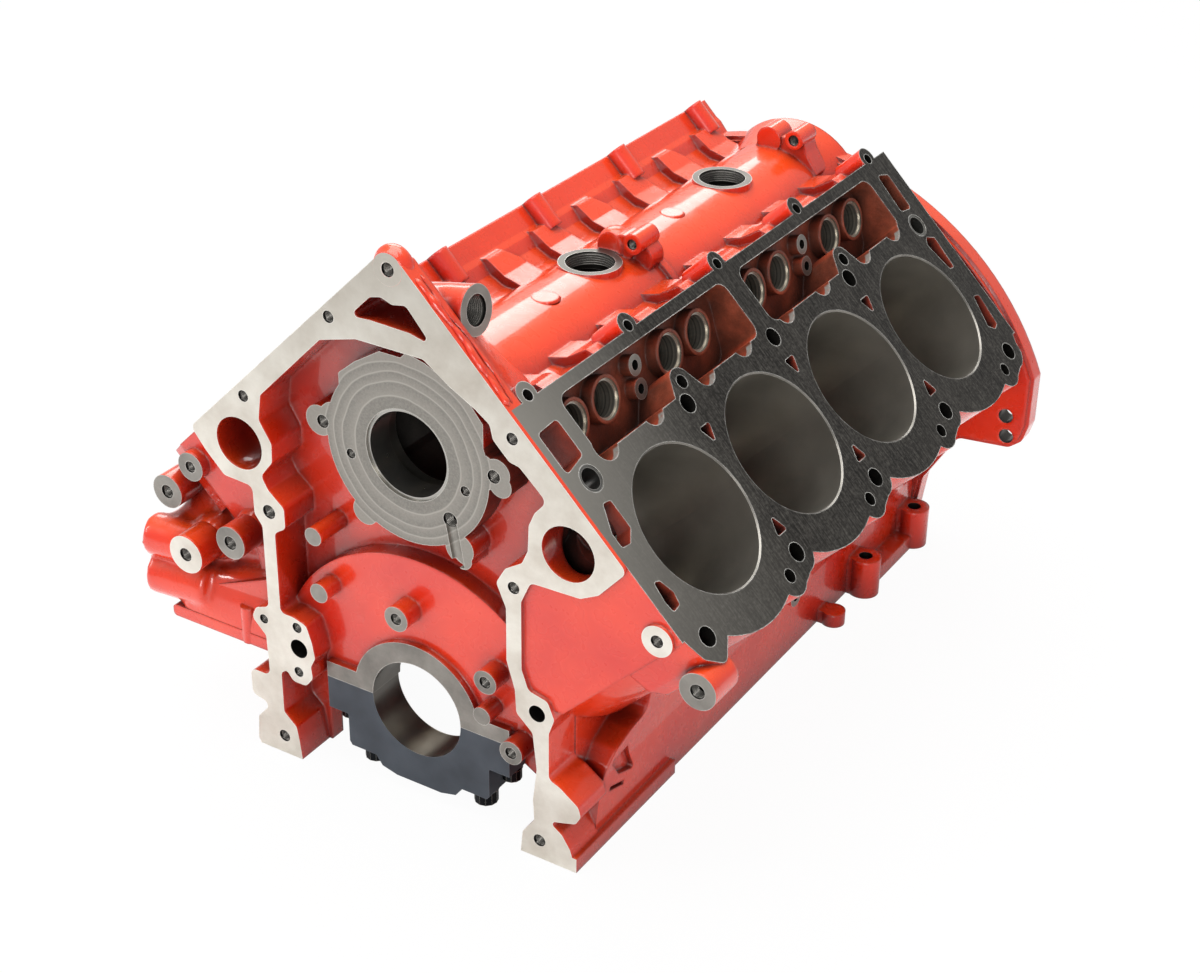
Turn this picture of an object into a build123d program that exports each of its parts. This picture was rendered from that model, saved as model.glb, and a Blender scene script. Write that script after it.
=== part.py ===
from build123d import *
import os
from math import sqrt, sin, cos, tan, radians, hypot, acos

# Cast-iron V8 cylinder block, bare, with its five main bearing caps bolted on.
# Lengths are in millimetres. +Z is up, +Y runs to the rear, +X is the viewer's right from the front.
# Everything is drawn from the front cover face (y = 0) and the crankshaft axis (x = z = 0).
# At the end each piece is moved so that the origin lies on the crankshaft axis,
# in the front face of the first main bearing.

# Layout of the cylinders
deck_height = 234.95        # crankshaft axis to each deck face
bore_pitch = 113.28         # cylinder to cylinder along a bank
bore_d = 99.5               # finished cylinder bore
cylinders = 4               # in each bank
first_bore = 80.3           # front face to the first bore of the +X bank
stagger = 24.0              # how far the -X bank sits behind the +X bank
bore_length = 158.0         # deck to the lower end of a bore
chamfer = 0.9               # edge of a bore at the deck
cylinder_wall = 7.2         # wall between bore and water jacket
deck_thickness = 13.0
barrel_r = 77.5             # cast outer wall around each bore
jacket_wall = 7.0           # outer wall of the water jacket
jacket_depth = 128.0        # deck to the floor of the jacket

# Deck face, measured across from the bore centres: up and inwards is negative
rail_edge = 117.0           # bore centre to the edge at the valley
rail_width = 9.0
side_edge = 50.0            # bore centre to the flat side wall between the barrels
bank_end = 78.9             # last bore centre to the rear end of the bank
head_bolt_in = 58.0         # bore centre to the upper row of head bolts
head_bolt_out = 57.0        # bore centre to the lower row
head_bolt_d = 13.0
head_bolt_depth = 62.0
dowel_d = 17.6              # hollow dowel ring around two of the head bolts
dowel_length = 14.0
dowel_bore = 14.0

# Crankshaft and camshaft lines
main_d = 70.4               # main bearing housing bore
main_front = 12.0           # front cover face to the first main bearing
front_main_width = 28.0
main_width = 26.0
rear_main_width = 38.0
rear_web = 12.0             # bulkhead that carries the rear main bearing
saddle_r = 50.0             # cast ring around each main bore
web = 18.0                  # thickness of the bulkheads between the bays
bay_r = 92.0                # room for the crankshaft's counterweights
nose_half = 104.0           # the crankcase is narrower behind the front bulkhead
nose_end = 86.0
rear_arch_r = 82.0
cam_height = 190.0          # crankshaft axis to camshaft axis
cam_housing_d = 62.0
cam_bearing_wall = 2.0
cam_bearing_width = 19.0
cam_tunnel_r = 43.0
dome_wall = 8.0
cam_face_y = 11.6           # front cover face back to the camshaft thrust face
press_gap = 0.1             # what a pressed-in ring or plug stands clear of its hole

# Crankcase and front cover case
pan_drop = 68.8             # crankshaft axis down to the pan rail
rail_half = 128.0           # half width over the pan rail
skirt_wall = 10.0
pan_flange = 9.0            # thickness of the pan rail flange
front_case = 30.0           # front cover face back to the front bulkhead
front_bulkhead = 12.0
crank_arch_r = 112.0        # the bulkhead stands forward around the crankshaft
crank_arch_y = 17.0
block_rear = 524.0          # front cover face to the bell housing face
bell_flange = 16.0
bell_r = 235.0              # bell housing flange around the crankshaft axis

# Main caps and their bolts
cap_half = 73.0             # half width of a cap over its ears
cap_body_half = 57.0
cap_ear = 25.0              # parting line down to the ears
cap_depth = 60.0            # parting line down to the foot of the cap
inner_bolt_x = 45.0
outer_bolt_x = 65.5
inner_bolt_d = 12.0
outer_bolt_d = 10.0
bolt_room = 0.3             # clearance around a bolt, on the radius
bolt_grip = 38.0            # length of bolt inside the block
cap_gap = 0.2               # play between a cap's sides and the register in the block

# Lifters
lifter_angle = 17.8         # tilt of a lifter bore above the horizontal
lifter_d = 23.0
lifter_floor = 88.0         # camshaft axis to the floor of a lifter pocket
lifter_mouth = 97.0         # camshaft axis to the mouth of a lifter bore
lifter_boss_d = 31.0
lifter_half = 18.2          # half the distance between the two lifters of a cylinder
lifter_lead = 5.0           # a pair of lifters sits this far ahead of its bore

s = sqrt(0.5)
span = bore_pitch * (cylinders - 1)
bores = [first_bore + i * bore_pitch for i in range(cylinders)]
bank_front = first_bore - barrel_r
bank_rear = first_bore + span + bank_end
bank_mid = first_bore + span / 2
bolts = [bank_mid + (i - cylinders / 2) * bore_pitch for i in range(cylinders + 1)]
rail_bolts = [y - (1.5 if i in (0, cylinders) else 2.2) for i, y in enumerate(bolts)]
pair_mid = first_bore + stagger / 2
mid_mains = [pair_mid + (i + 0.5) * bore_pitch for i in range(cylinders - 1)]
bell_front = block_rear - bell_flange
rear_main = bell_front - rear_main_width / 2
mains = [(main_front + front_main_width / 2, front_main_width)]
mains += [(y, main_width) for y in mid_mains]
mains += [(rear_main, rear_main_width)]
bay_starts = [front_case + front_bulkhead] + [y + web / 2 for y in mid_mains]
bay_ends = [y - web / 2 for y in mid_mains] + [bell_front - rear_web]
bays = list(zip(bay_starts, bay_ends))

# The +X bank's own plane: first axis to the rear, second up and inwards, third out of the deck
bank = Plane(origin=(0, 0, 0), x_dir=(0, 1, 0), z_dir=(s, 0, s))
deck = bank * Pos(0, 0, deck_height)
tilt = radians(lifter_angle)
lifter_line = Plane(origin=(0, 0, cam_height), x_dir=(0, 1, 0), z_dir=(cos(tilt), 0, sin(tilt)))


def on_bank(y, v, h):
    # y to the rear, v outwards and down from the bore centres, h above the crankshaft axis
    return bank * Pos(y, -v, h)


def at(v, depth, side=1):
    # a point of a bank's section in plain x and z: v across the deck, depth below it
    h = deck_height - depth
    return (side * s * (h + v), s * (h - v))


def prism(sketch, y0, y1):
    # a section drawn in x and z, run along the block from y0 to y1
    return extrude(Pos(0, y1, 0) * (Plane.XZ * sketch), amount=y1 - y0)


def poly(*points):
    return make_face(Polyline(*points, close=True))


def soft(*points, r=5.0):
    # a closed outline with rounded corners, each radius kept within its two sides
    radii = []
    for i, (x, z) in enumerate(points):
        ax, az = points[i - 1][0] - x, points[i - 1][1] - z
        bx, bz = points[(i + 1) % len(points)][0] - x, points[(i + 1) % len(points)][1] - z
        la, lb = hypot(ax, az), hypot(bx, bz)
        half = acos(max(-1, min(1, (ax * bx + az * bz) / la / lb))) / 2
        radii.append(min(r, 0.42 * min(la, lb) * tan(half)))
    return make_face(FilletPolyline(*points, radius=radii, close=True))


def both(*points, shape=poly, **more):
    # a section that is the same on both sides of the middle
    return shape(*points, *[(-x, z) for x, z in reversed(points) if x], **more)


def drill(y, v, r, depth, mouth=1.0):
    # a hole square to the deck, with the bottom at the stated depth
    return on_bank(y, v, deck_height + mouth - (depth + mouth) / 2) * Cylinder(r, depth + mouth)


def rod(x, z, r, y0, y1):
    # a round bar or hole along the block
    return Pos(x, (y0 + y1) / 2, z) * Rot(90, 0, 0) * Cylinder(r, y1 - y0)


def post(x, y, r, z0, z1):
    return Pos(x, y, (z0 + z1) / 2) * Cylinder(r, z1 - z0)


def other_bank(shape):
    return Pos(0, stagger, 0) * mirror(shape, about=Plane.YZ)


def same_bank(shape):
    return shape


def deck_poly(*points, **more):
    # an outline on the deck, given as y and v
    return soft(*[(y, -v) for y, v in points], **more)


def from_deck(sketch, depth):
    return extrude(deck * Pos(0, 0, 1) * sketch, amount=-(depth + 1))


# One bank of cylinders, as cast, for the +X side
barrel_foot = deck_height - jacket_depth - 8
wall_foot = (side_edge, jacket_depth - 12)
dome_r = cam_tunnel_r + dome_wall
valley_floor = cam_height + 15
wall_x = (lifter_floor - 8) * cos(tilt)
rail_depth = 16.0
rail_in = at(-rail_edge, 0)
wall_top = at(-rail_edge - 1, rail_depth + 5)


def cast_bank():
    section = poly(
        rail_in, at(side_edge, 0), at(*wall_foot), (60, at(*wall_foot)[1]), (wall_x - 10, cam_height),
        (38, cam_height + 15), (38, valley_floor + 16), (50, valley_floor + 16.5), (62, valley_floor + 22.5),
        wall_top, at(-rail_edge, rail_depth))
    barrels = Sketch() + [Pos(y, 0) * Circle(barrel_r) for y in bores]
    lugs = [Pos(y, -head_bolt_out) * Circle(15) for y in bolts]
    lugs += [Pos(y - 19, -head_bolt_out - 8) * Circle(14) for y in bolts[1:]]
    lugs += [deck_poly((y - 34, 44), (y - 30, 70), (y - 19, 79), (y, 72), (y + 15, 57), (y + 22, 44), r=6)
             for y in bolts[1:]]
    lugs += [deck_poly((bank_front, 44), (bolts[0] - 14, 66), (bolts[0], 77), (bolts[0] + 14, 66),
                       (bolts[0] + 26, 44), r=6)]
    rail_lugs = Sketch() + [Pos(y, rail_edge + 3) * Circle(8.2) for y in rail_bolts]
    solids = [
        prism(section, bank_front, bank_rear),
        extrude(bank * Pos(0, 0, barrel_foot) * barrels, amount=deck_height - barrel_foot),
        extrude(deck * (Sketch() + lugs), amount=-52),
        extrude(deck * rail_lugs, amount=-26)]
    gussets = []
    for y in bolts[1:]:
        web_shape = poly((side_edge - 10, 50), (78, 50), (76, 62), (side_edge + 4, 112),
                         (side_edge - 10, 112))
        gussets.append(extrude(
            Plane(origin=(0, y - 14, 0), x_dir=(s, 0, -s), z_dir=(0, -1, 0)) * Pos(0, deck_height)
            * mirror(web_shape, about=Plane.XZ), amount=10))
    body = Part() + solids + gussets
    ends = [Pos(0, bank_rear + 50, 0) * Box(900, 100, 900), Pos(0, bank_front - 50, 0) * Box(900, 100, 900)]
    return body - ends


def lifter_blocks():
    # the castings around the lifter bores, seen from the valley as a row of wedges
    shape = poly((30, valley_floor), (wall_x, valley_floor), (wall_x - 4, 236), (wall_top[0] - 3, 238),
                 (dome_r, valley_floor + 24), (36, valley_floor + 20))
    solids = []
    for i in range(2 * cylinders):
        y = pair_mid + (i - 0.5) * bore_pitch / 2 - 8
        block_half = prism(shape, y, y + 0.5 * bore_pitch / 2)
        # the rear of each wedge runs out into the wall
        solids.append(block_half - Pos(48, y + 34, valley_floor + 34) * Rot(-38, 0, 0) * Box(80, 60, 20))
    return solids


def jacket():
    # water space around the bores: open between cylinder walls and barrels, shut towards the valley
    top = deck_height - deck_thickness
    foot = deck_height - jacket_depth
    outside = Sketch() + [Pos(y, 0) * Circle(barrel_r - jacket_wall) for y in bores]
    outside &= Pos(bank_mid, -20) * Rectangle(span + 300, 148)
    inside = Sketch() + [Pos(y, 0) * Circle(bore_d / 2 + cylinder_wall) for y in bores]
    return extrude(bank * Pos(0, 0, foot) * (outside - inside), amount=top - foot)


def pocket(front, rear, lug):
    # opening of one lifter pocket in the deck, with scallops where the pushrods pass
    low = 65.0
    sketch = Pos((front + rear) / 2, (rail_edge - rail_width + low) / 2) * RectangleRounded(
        rear - front, rail_edge - rail_width - low, 8)
    scallops = [Pos(min(max(y, front + 9), rear - 9), low + 4) * Circle(10.5)
                for y in (lug - 94, lug - 41, lug + 23, lug + 72)]
    sketch = sketch + scallops
    return sketch - [Pos(lug, 71) * Circle(10),
                     deck_poly((lug - 17, -55), (lug - 17, -62), (lug - 8, -77), (lug + 8, -77),
                               (lug + 15, -62), (lug + 15, -55), r=3)]


lug_holes = [bank_mid - bore_pitch + 8, bank_mid + bore_pitch + 8]
pocket_ends = 41.8
pockets = [(pocket_ends, bank_mid - 10, lug_holes[0]), (bank_mid + 10, bank_rear - pocket_ends, lug_holes[1])]
lifters = [y - lifter_lead + side * lifter_half for y in bores for side in (-1, 1)]
retainers = [(lifters[i] + lifters[i + 1]) / 2 for i in (1, 5)]


def bank_cuts():
    cuts = [drill(y, 0, bore_d / 2, bore_length) for y in bores]
    mouth = Cone(bore_d / 2 - 0.2, bore_d / 2 + chamfer + 0.2, chamfer + 0.4)
    cuts += [on_bank(y, 0, deck_height - chamfer / 2) * mouth for y in bores]
    for y in bolts:
        cuts += [drill(y, v, head_bolt_d / 2, head_bolt_depth) for v in (-head_bolt_in, head_bolt_out)]
    cuts += [drill(y, -head_bolt_in, dowel_d / 2 + press_gap, dowel_length + 0.5)
             for y in (bolts[0], bolts[-1])]
    cuts += [drill(y - 19, head_bolt_out + 8, 4.6, 30) for y in bolts[1:]]
    cuts += [drill(y, -71, 4.6, 30) for y in lug_holes]
    cuts += [drill(y, -rail_edge - 2, 3.8, 22) for y in rail_bolts]
    # water passages at the two ends of the deck and between the bores
    near = bank_front + 6
    far = bank_rear
    cuts += [
        from_deck(deck_poly((near, -97), (near + 21, -98), (near + 21, -72), (near, -68), r=3), 34),
        from_deck(deck_poly((near + 1, -25), (near + 10, -42), (near + 17, -41), (near + 17, -21),
                            (near + 9, -14), (near + 1, -15), r=2), 20),
        from_deck(deck_poly((near + 3, 25), (near + 5, 12), (near + 10, 14), (near + 14, 24), (near + 12, 32),
                            (near + 4, 33), r=2), 20),
        from_deck(deck_poly((far - 27, -105), (far - 14, -101), (far - 15, -71), (far - 29, -73), r=3), 34),
        from_deck(deck_poly((far - 27, -42), (far - 22, -47), (far - 13, -43), (far - 15, -17),
                            (far - 21, -18), r=2), 20),
        from_deck(deck_poly((far - 17, 9), (far - 10, 11), (far - 13, 36), (far - 19, 38),
                            (far - 25, 33), r=2), 20)]
    for y in bolts[1:-1]:
        cuts += [from_deck(deck_poly((y - 6, v), (y + 6, v), (y + 1, w), (y - 1, w), r=1.5), 22)
                 for v, w in ((-41, -30), (42, 31))]
    for y in lifters:
        cuts += [lifter_line * Pos(y, 0, 72) * Cylinder(lifter_d / 2, 76),
                 lifter_line * Pos(y, 0, lifter_mouth) * Cylinder(lifter_d / 2 + 1.6, 4)]
    cuts += [lifter_line * Pos(y, up, lifter_mouth - 6) * Cylinder(3.4, 16)
             for y in retainers for up in (7, -9)]
    return cuts


def lifter_bosses():
    length = lifter_mouth - lifter_floor + 10
    solids = [lifter_line * Pos(y, 0, lifter_mouth - length / 2) * Cylinder(lifter_boss_d / 2, length)
              for y in lifters]
    return solids + [lifter_line * Pos(y, up, lifter_mouth - 9) * Cylinder(7, 16)
                     for y in retainers for up in (7, -9)]


def pocket_cuts():
    above = lifter_line * Pos(bank_mid, 0, lifter_floor + 100) * Box(800, 300, 200)
    return [from_deck(pocket(*ends), 70) & above for ends in pockets]


# Crankcase, valley and rear wall, as one section run along the block
middle = both(
    (0, -pan_drop), (rail_half, -pan_drop), (rail_half, -20), (136, 30),
    at(side_edge, 80), (100, 150), (wall_x + 6, valley_floor), (wall_x - 6, valley_floor), (40, valley_floor))
right_bank = cast_bank()

# Front cover face: a rim around the timing gear, drawn as one outline
apex = deck_height / s
rim = soft(
    (-9, apex - 9), at(-2, 0, -1), at(0, 18, -1), at(0, 38, -1), (-116, 138), (-116, 118), (-110, 110),
    (-110, 48), (-121, 44), (-125, 35), (-114, 24), (-113, -8), (-130, -8), (-130, -29), (-114, -32),
    (-126, -46), (-128, -pan_drop), (132, -pan_drop), (127, -52), (121, -43), (111, -36), (131, -30),
    (135, -23), (133, -16), (119, -6), (111, -3), (111, 32), (115, 44), (110, 56), (96, 59), (91, 73),
    (91, 122), (98, 138), (133, 139), at(0, 29), at(-2, 0), (9, apex - 9))
case_inside = soft(
    (-89, -pan_drop - 5), (-91, -55), (-93, -43), (-103, -34), (-103, -2), (-98, 2), (-93, -5), (-82, -5),
    (-76, 3), (-77, 12), (-73, 20), (-75, 32), (-79, 44), (-90, 47), (-100, 47), (-100, 108), (-91, 114),
    (-91, 129), (-103, 139), at(-28, 54, -1), at(-44, 52, -1), at(-54, 43, -1), at(-58, 26, -1),
    at(-73, 15, -1), at(-145, 14, -1), at(-170, 28, -1), at(-172, 30), at(-150, 26), at(-130, 20),
    at(-118, 18), at(-110, 23), at(-94, 23), at(-88, 19), at(-62, 18), at(-61, 31), at(-57, 41),
    at(-45, 54), at(-41, 64), at(-44, 78), (73, 130), (80, 114), (80, 76), (86, 56), (87, 39), (99, 28),
    (102, 1), (99, -24), (100, -40), (91, -52), (89, -pan_drop - 5))
water_at = at(-30, 29)
water_d = 37.0
crest = 13.0
slope_end = 86.0
slope_top = both((0, 180), (rail_in[0], 180), (rail_in[0], rail_in[1] - 3), (6, apex - 12), (0, apex - 10))
slope_low = both((0, 180), (rail_in[0], 180), (rail_in[0] - 4, valley_floor), (50, 214), (0, cam_height + 50))
slope = loft([Pos(0, crest, 0) * (Plane.XZ * slope_top), Pos(0, slope_end, 0) * (Plane.XZ * slope_low)],
             ruled=True)
behind_rim = prism(both((0, 250), (rail_in[0], 240), (rail_in[0], 400), (0, 400)), crest, front_case + 2)
front = prism(rim, 0, front_case + 1) - behind_rim
water_rings = [rod(side * water_at[0], water_at[1], water_d / 2 + 9, 0, front_case + 1) for side in (-1, 1)]
feet = [prism(poly((side * 89, -pan_drop), (side * out, -pan_drop), (side * out, -pan_drop + 11),
                   (side * 89, -pan_drop + 11)), 0, 125) for side, out in ((1, 132), (-1, 126))]

# Bell housing flange, the ears on top of the rear wall and the ridge that carries them
bell = Circle(bell_r) & both(
    (rail_half, -pan_drop), (135, -20), (161, 24), (203, 28), (213, 36), (217, 50), (217, 90),
    (209, 130), (209, 240), shape=soft, r=8)
ridge = Pos(0, block_rear - 20, cam_height) * Rot(-90, 0, 0) * Cone(dome_r, dome_r + 9, 36)

# Bosses on the ends of the banks, and the oil housing low on the -X side
side_bosses = [
    (*at(41, 13), 10.5, 0, 60, 4.2), (*at(79, 13.5), 12.5, 3, 30, 5.0), (*at(46, 17, -1), 10.5, 19, 78, 4.2),
    (*at(82, 19, -1), 12.5, 20, 78, 5.0), (-180, 65, 14, 0, 78, 5.0), (-141, 86, 12, 2, 78, 5.0)]
housing = [
    prism(soft((-112, 92), (-152, 92), (-166, 78), (-200, 72), (-200, 2), (-112, 2), r=8), 46, 84),
    rod(-208, 58, 15, 26, 64), Pos(-208, 26, 58) * Sphere(15), rod(-209, 25, 17, 27, 64),
    Pos(-209, 27, 25) * Sphere(17),
    prism(soft((-206, 4), (-206, 26), (-188, 27), (-155, 41), (-129, 52), (-112, 54), (-112, 4), r=7),
          20, 60),
    prism(soft((-209, 9), (-209, 0), (-112, 0), (-112, 9), r=3), 13, 84), post(-143.5, 18, 6, 0, 28)]

# Threaded bosses in the valley, the lug behind the first of them, and the sender boss under the apex
valley_top = cam_height + dome_r + 0.6
valley_bosses = [221.0, 402.6]
valley_thread = 34.0
lug_at = valley_bosses[0] + 31
ears = soft((-20, valley_top - 24), (-12, valley_top + 3), (-6, valley_top + 9), (26, valley_top + 9),
            (29, valley_top), (42, valley_top - 20), r=4)
ear_bosses = [rod(-2, valley_top + 5.4, 10, block_rear - 46, block_rear - 26),
              rod(20.5, valley_top + 10, 7.4, block_rear - 49, block_rear - 26)]
rib = rod(0, cam_height, dome_r + 3.5, lug_at + 8, lug_at + 15)
rib = rib & Pos(100, lug_at + 10, 300) * Box(200, 40, 220)
sender = Plane(origin=(41, 30, 291), x_dir=(0, 1, 0), z_dir=(cos(radians(9)), 0, sin(radians(9))))

# Lugs along the pan rail and on the side wall
rail_lug_x = rail_half + 10
rail_lug_y = [404.0, 492.0]
pan_lugs = []
for y, r, top in ((rail_lug_y[0], 12, -37), (rail_lug_y[1], 12, -36), (352, 9, -58)):
    pan_lugs.append(post(rail_lug_x, y, r, -pan_drop, top))
    pan_lugs.append(Pos(rail_lug_x - 9, y, (top - pan_drop) / 2) * Box(18, 2 * r - 4, top + pan_drop))
pan_lugs.append(Pos(rail_half + 3, (rail_lug_y[0] + rail_lug_y[1]) / 2, -pan_drop + 6)
                * Box(22, rail_lug_y[1] - rail_lug_y[0] + 8, 12))
side_pad_y = 262.0
side_pad = Pos(rail_half + 9, side_pad_y, 6) * Rot(0, 90, 0) * Cylinder(8, 24)

# The skirt is hollowed out behind the rim's right leg, under the end of the bank
hood = Plane.YZ * soft((28, -62), (33, -34), (41, -13), (50, -3), (66, 4), (84, 8), (84, 75), (28, 75), r=9)
hood = Pos(112, 0, 0) * extrude(hood, amount=60)
vent = soft((47, -12), (65, -9), (77, -35), (57, -28), r=2)
vent = Pos(rail_half - 4, 0, 0) * extrude(Plane.YZ * vent, amount=12)
slot = Pos(rail_half, 55, -36) * Rot(-17, 0, 0) * Box(8, 18, 3)
core = prism(middle, front_case, block_rear) - [hood, vent, slot]

block = Part() + [
    core, rod(0, cam_height, dome_r, front_case, block_rear),
    right_bank, other_bank(right_bank), front, *water_rings, slope, *feet,
    prism(bell, bell_front + 3, block_rear), prism(offset(bell, -3), bell_front, bell_front + 4),
    prism(ears, block_rear - 44, block_rear - 26), *ear_bosses,
    ridge & Pos(0, block_rear - 40, 240) * Box(300, 80, 80),
    *housing, *pan_lugs, side_pad, rib,
    *lifter_blocks(), *[other_bank(q) for q in lifter_blocks()],
    *[rod(x, z, r, y0, y1) for x, z, r, y0, y1, hole in side_bosses],
    Pos(1, lug_at, valley_top + 2.4) * Sphere(12.5), rod(11, valley_top + 4.4, 9, lug_at - 7, lug_at + 8),
    rod(21, valley_top + 10.4, 7.4, lug_at - 12, lug_at + 12),
    rod(20, valley_top - 3, 12, lug_at - 3, lug_at + 12),
    sender * Pos(0, 0, -26) * Cone(13, 15.8, 52)]

# Openings of the casting: front case, crankcase bays, camshaft tunnel, water jackets, lifter pockets
rail_inside = rail_half - 17
flange_top = -pan_drop + pan_flange
bay = Circle(bay_r) + both(
    (0, -pan_drop - 5), (rail_inside, -pan_drop - 5), (rail_inside, flange_top),
    (rail_half - skirt_wall, flange_top + 6), (rail_half - skirt_wall, -20),
    (rail_half - skirt_wall + 1, 8), (95, 30), (0, 30))
drain = both((0, 70), (22, 70), (24, 100), (58, 136), (58, 152), (46, 162), (30, 165), (0, 165))
apex_pocket = soft((-30, 281), (-14, 297), (-6, 299), (2, 296), (12, 298), (30, 277), (14, 281),
                   (-14, 282), r=4)
under_caps = both((0, -pan_drop - 5), (cap_half + 14, -pan_drop - 5), (cap_half + 14, -cap_ear - 8),
                  (cap_half + cap_gap, -cap_ear), (cap_half + cap_gap, 0), (0, 0))
water = jacket()
case_wall = prism(offset(case_inside, 7), -5, front_case + 7)
pocket_set = pocket_cuts()
cuts = [prism(case_inside, -1, front_case), prism(apex_pocket, -1, 26),
        prism(under_caps, front_case - 1, 600)]
nose = Circle(bay_r) + Pos(0, -pan_drop / 2) * Rectangle(2 * nose_half, pan_drop + 10)
cuts.append(prism(nose, bays[0][0], nose_end + 1))
for y0, y1 in bays:
    cuts += [prism(bay, max(y0, nose_end), y1), rod(0, cam_height, cam_tunnel_r, y0, y1),
             prism(drain, y0 + 8, y1 - 8)]
cuts += [water - case_wall, other_bank(water) - case_wall, *pocket_set, *[other_bank(q) for q in pocket_set]]
cuts += [post(0, y, valley_thread / 2 + 7.4, valley_top, valley_top + 30) for y in valley_bosses]
block = block - cuts

# Faces and bosses that stand inside those openings
cam_lobes = [(-67, 5, 10.5), (-54, 8, 13), (66.5, 8, 9.5), (69, 0, 8), (56, 6, 12), (-34, -50, 9.5),
             (38, -54, 10.5), (40, -61, 7)]
cam_top = soft((-50, 30), (-50, 43), (-37, 54), (-18, 66), (-2, 66), (2, 70.5), (16, 67), (34, 58.5),
               (47, 50), (57, 38), (57, 20), r=2)
cam_face = Pos(0, cam_height) * (Circle(61) + [Pos(x, z) * Circle(r) for x, z, r in cam_lobes] + cam_top)
pads = [(-70, 114, 6.5, 0), (-68, 72, 7, 0), (59, 24, 6.5, 0), (-6, 74, 9, 4.2), (62, 51, 8.5, 4.2),
        (81, 4, 8.5, 4.2)]
arch = Circle(crank_arch_r) & case_inside & Pos(0, 100) * Rectangle(400, 200)
adds = [prism(cam_face, cam_face_y, front_case + 1), prism(arch, crank_arch_y, front_case + 1)]
adds.append(prism(Circle(rear_arch_r) & Pos(0, 100) * Rectangle(400, 200), rear_main - 8, bell_front))
adds += [rod(x, z, r, 2, front_case + 1) for x, z, r, hole in pads]
adds += [on_bank(first_bore, 0, 160) * Cylinder(bore_d / 2 + cylinder_wall, 124)]
saddle = Circle(saddle_r) & Pos(0, saddle_r / 2) * Rectangle(200, saddle_r)
for y, width in mains:
    adds.append(prism(saddle, y - width / 2, y + width / 2))
    adds.append(prism(Pos(0, 6) * Rectangle(cap_half * 2, 12), y - width / 2, y + width / 2))
boss_set = lifter_bosses()
adds += [*boss_set, *[other_bank(q) for q in boss_set]]
adds += [post(0, y, valley_thread / 2 + 4.9, cam_height + cam_tunnel_r - 4, valley_top)
         for y in valley_bosses]
block = block + adds

# Machined bores and holes
rear_seal_r = 52.0
hole_set = bank_cuts()
cuts = [*hole_set, *[other_bank(q) for q in hole_set]]
cuts += [rod(0, 0, main_d / 2, main_front - 20, block_rear + 1),
         rod(0, 0, rear_seal_r, bell_front, block_rear + 1)]
cuts += [rod(0, cam_height, cam_housing_d / 2, cam_face_y - 1, block_rear + 1)]
cuts += [rod(water_at[0], water_at[1], water_d / 2, -1, first_bore - 45),
         rod(-water_at[0], water_at[1], water_d / 2, -1, first_bore + stagger - 45)]
cuts += [rod(x, z, hole, 0, 22) for x, z, r, hole in pads if hole]
cuts += [rod(x, z, hole, y0 - 1, y0 + 22) for x, z, r, y0, y1, hole in side_bosses]
cuts += [rod(21, valley_top + 10.4, 3.7, lug_at - 14, lug_at + 6),
             rod(20.5, valley_top + 10, 4.2, block_rear - 50, block_rear - 20)]
cuts += [post(0, y, valley_thread / 2, cam_height + 20, valley_top + 1) for y in valley_bosses]
cuts += [sender * Pos(0, 0, -14) * Cylinder(9.8, 30)]
cuts += [post(rail_lug_x, y, 5.2, -pan_drop - 1, -20) for y in rail_lug_y]
cuts += [Pos(rail_half + 20, side_pad_y, 6) * Rot(0, 90, 0) * Cylinder(4, 16)]
front_holes = [
    (0, apex - 14.5, 4.6), (-46, 276, 4), (-118, 202.5, 4), (85.6, 232.2, 4), (-103.5, 122.8, 5),
    (85.7, 130.3, 4.2), (-114.8, 36.8, 3.5), (-86.7, 39.7, 3.8), (-86.2, 23.3, 7), (-87.6, 4.3, 3.8),
    (102.3, 44, 6), (-104, -54.4, 4.5), (104, -54.4, 4.5)]
cuts += [rod(x, z, r, -1, 12 if z > 300 else 20) for x, z, r in front_holes]
cuts += [rod(side * x, cam_height + z, r, cam_face_y - 1, cam_face_y + 16)
         for side in (-1, 1) for x, z, r in ((64.3, 5, 4.5), (43.2, -11.5, 3.4))]
groove = Plane(origin=(34.5, cam_face_y, cam_height - 51), x_dir=(0, 1, 0), z_dir=(-0.18, 0, 0.98))
cuts += [groove * Cylinder(4.2, 34), rod(31.5, cam_height - 35.4, 5.2, cam_face_y - 1, cam_face_y + 24)]
# The rear face is hollowed between its rim, the crankshaft seal, the camshaft plug and the bank ends
rear_hollow = soft((-118, 40), (-150, 45), (-172, 60), (-172, 100), (-140, 150), (-98, 190), (-50, 205),
                   (-50, 180), (-40, 150), (-56, 100), (-70, 60), (-90, 30), r=10)
for shape in (rear_hollow, mirror(rear_hollow, about=Plane.YZ)):
    cuts.append(prism(shape, block_rear - 11, block_rear + 1))
bell_holes = [(199, 55.4), (201, 38.5), (163, 152), (64, 219)]
bell_dowel = (203, 84)
bell_dowel_d = 12.7
plug_d = 45.0
plug_h = deck_height - 82
plug_depth = 9.0
side_holes = [on_bank(y, barrel_r, plug_h) * Rot(90, 0, 0) * Cylinder(plug_d / 2, 24) for y in bores]
cuts += [*side_holes, *[other_bank(q) for q in side_holes]]
for side in (-1, 1):
    cuts += [rod(side * x, z, 5.8, block_rear - 40, block_rear + 1) for x, z in bell_holes]
    cuts.append(rod(side * bell_dowel[0], bell_dowel[1], bell_dowel_d / 2 + press_gap, block_rear - 12, 600))
    cuts += [post(side * (rail_half - 8.5), 60 + k * 82, 3.6, -pan_drop - 1, -pan_drop + 18)
             for k in range(6)]
    for y, width in mains:
        cuts.append(post(side * inner_bolt_x, y, inner_bolt_d / 2 + bolt_room, -1, bolt_grip + 4))
        cuts.append(post(side * outer_bolt_x, y, outer_bolt_d / 2 + bolt_room, -1, bolt_grip - 6))
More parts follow.
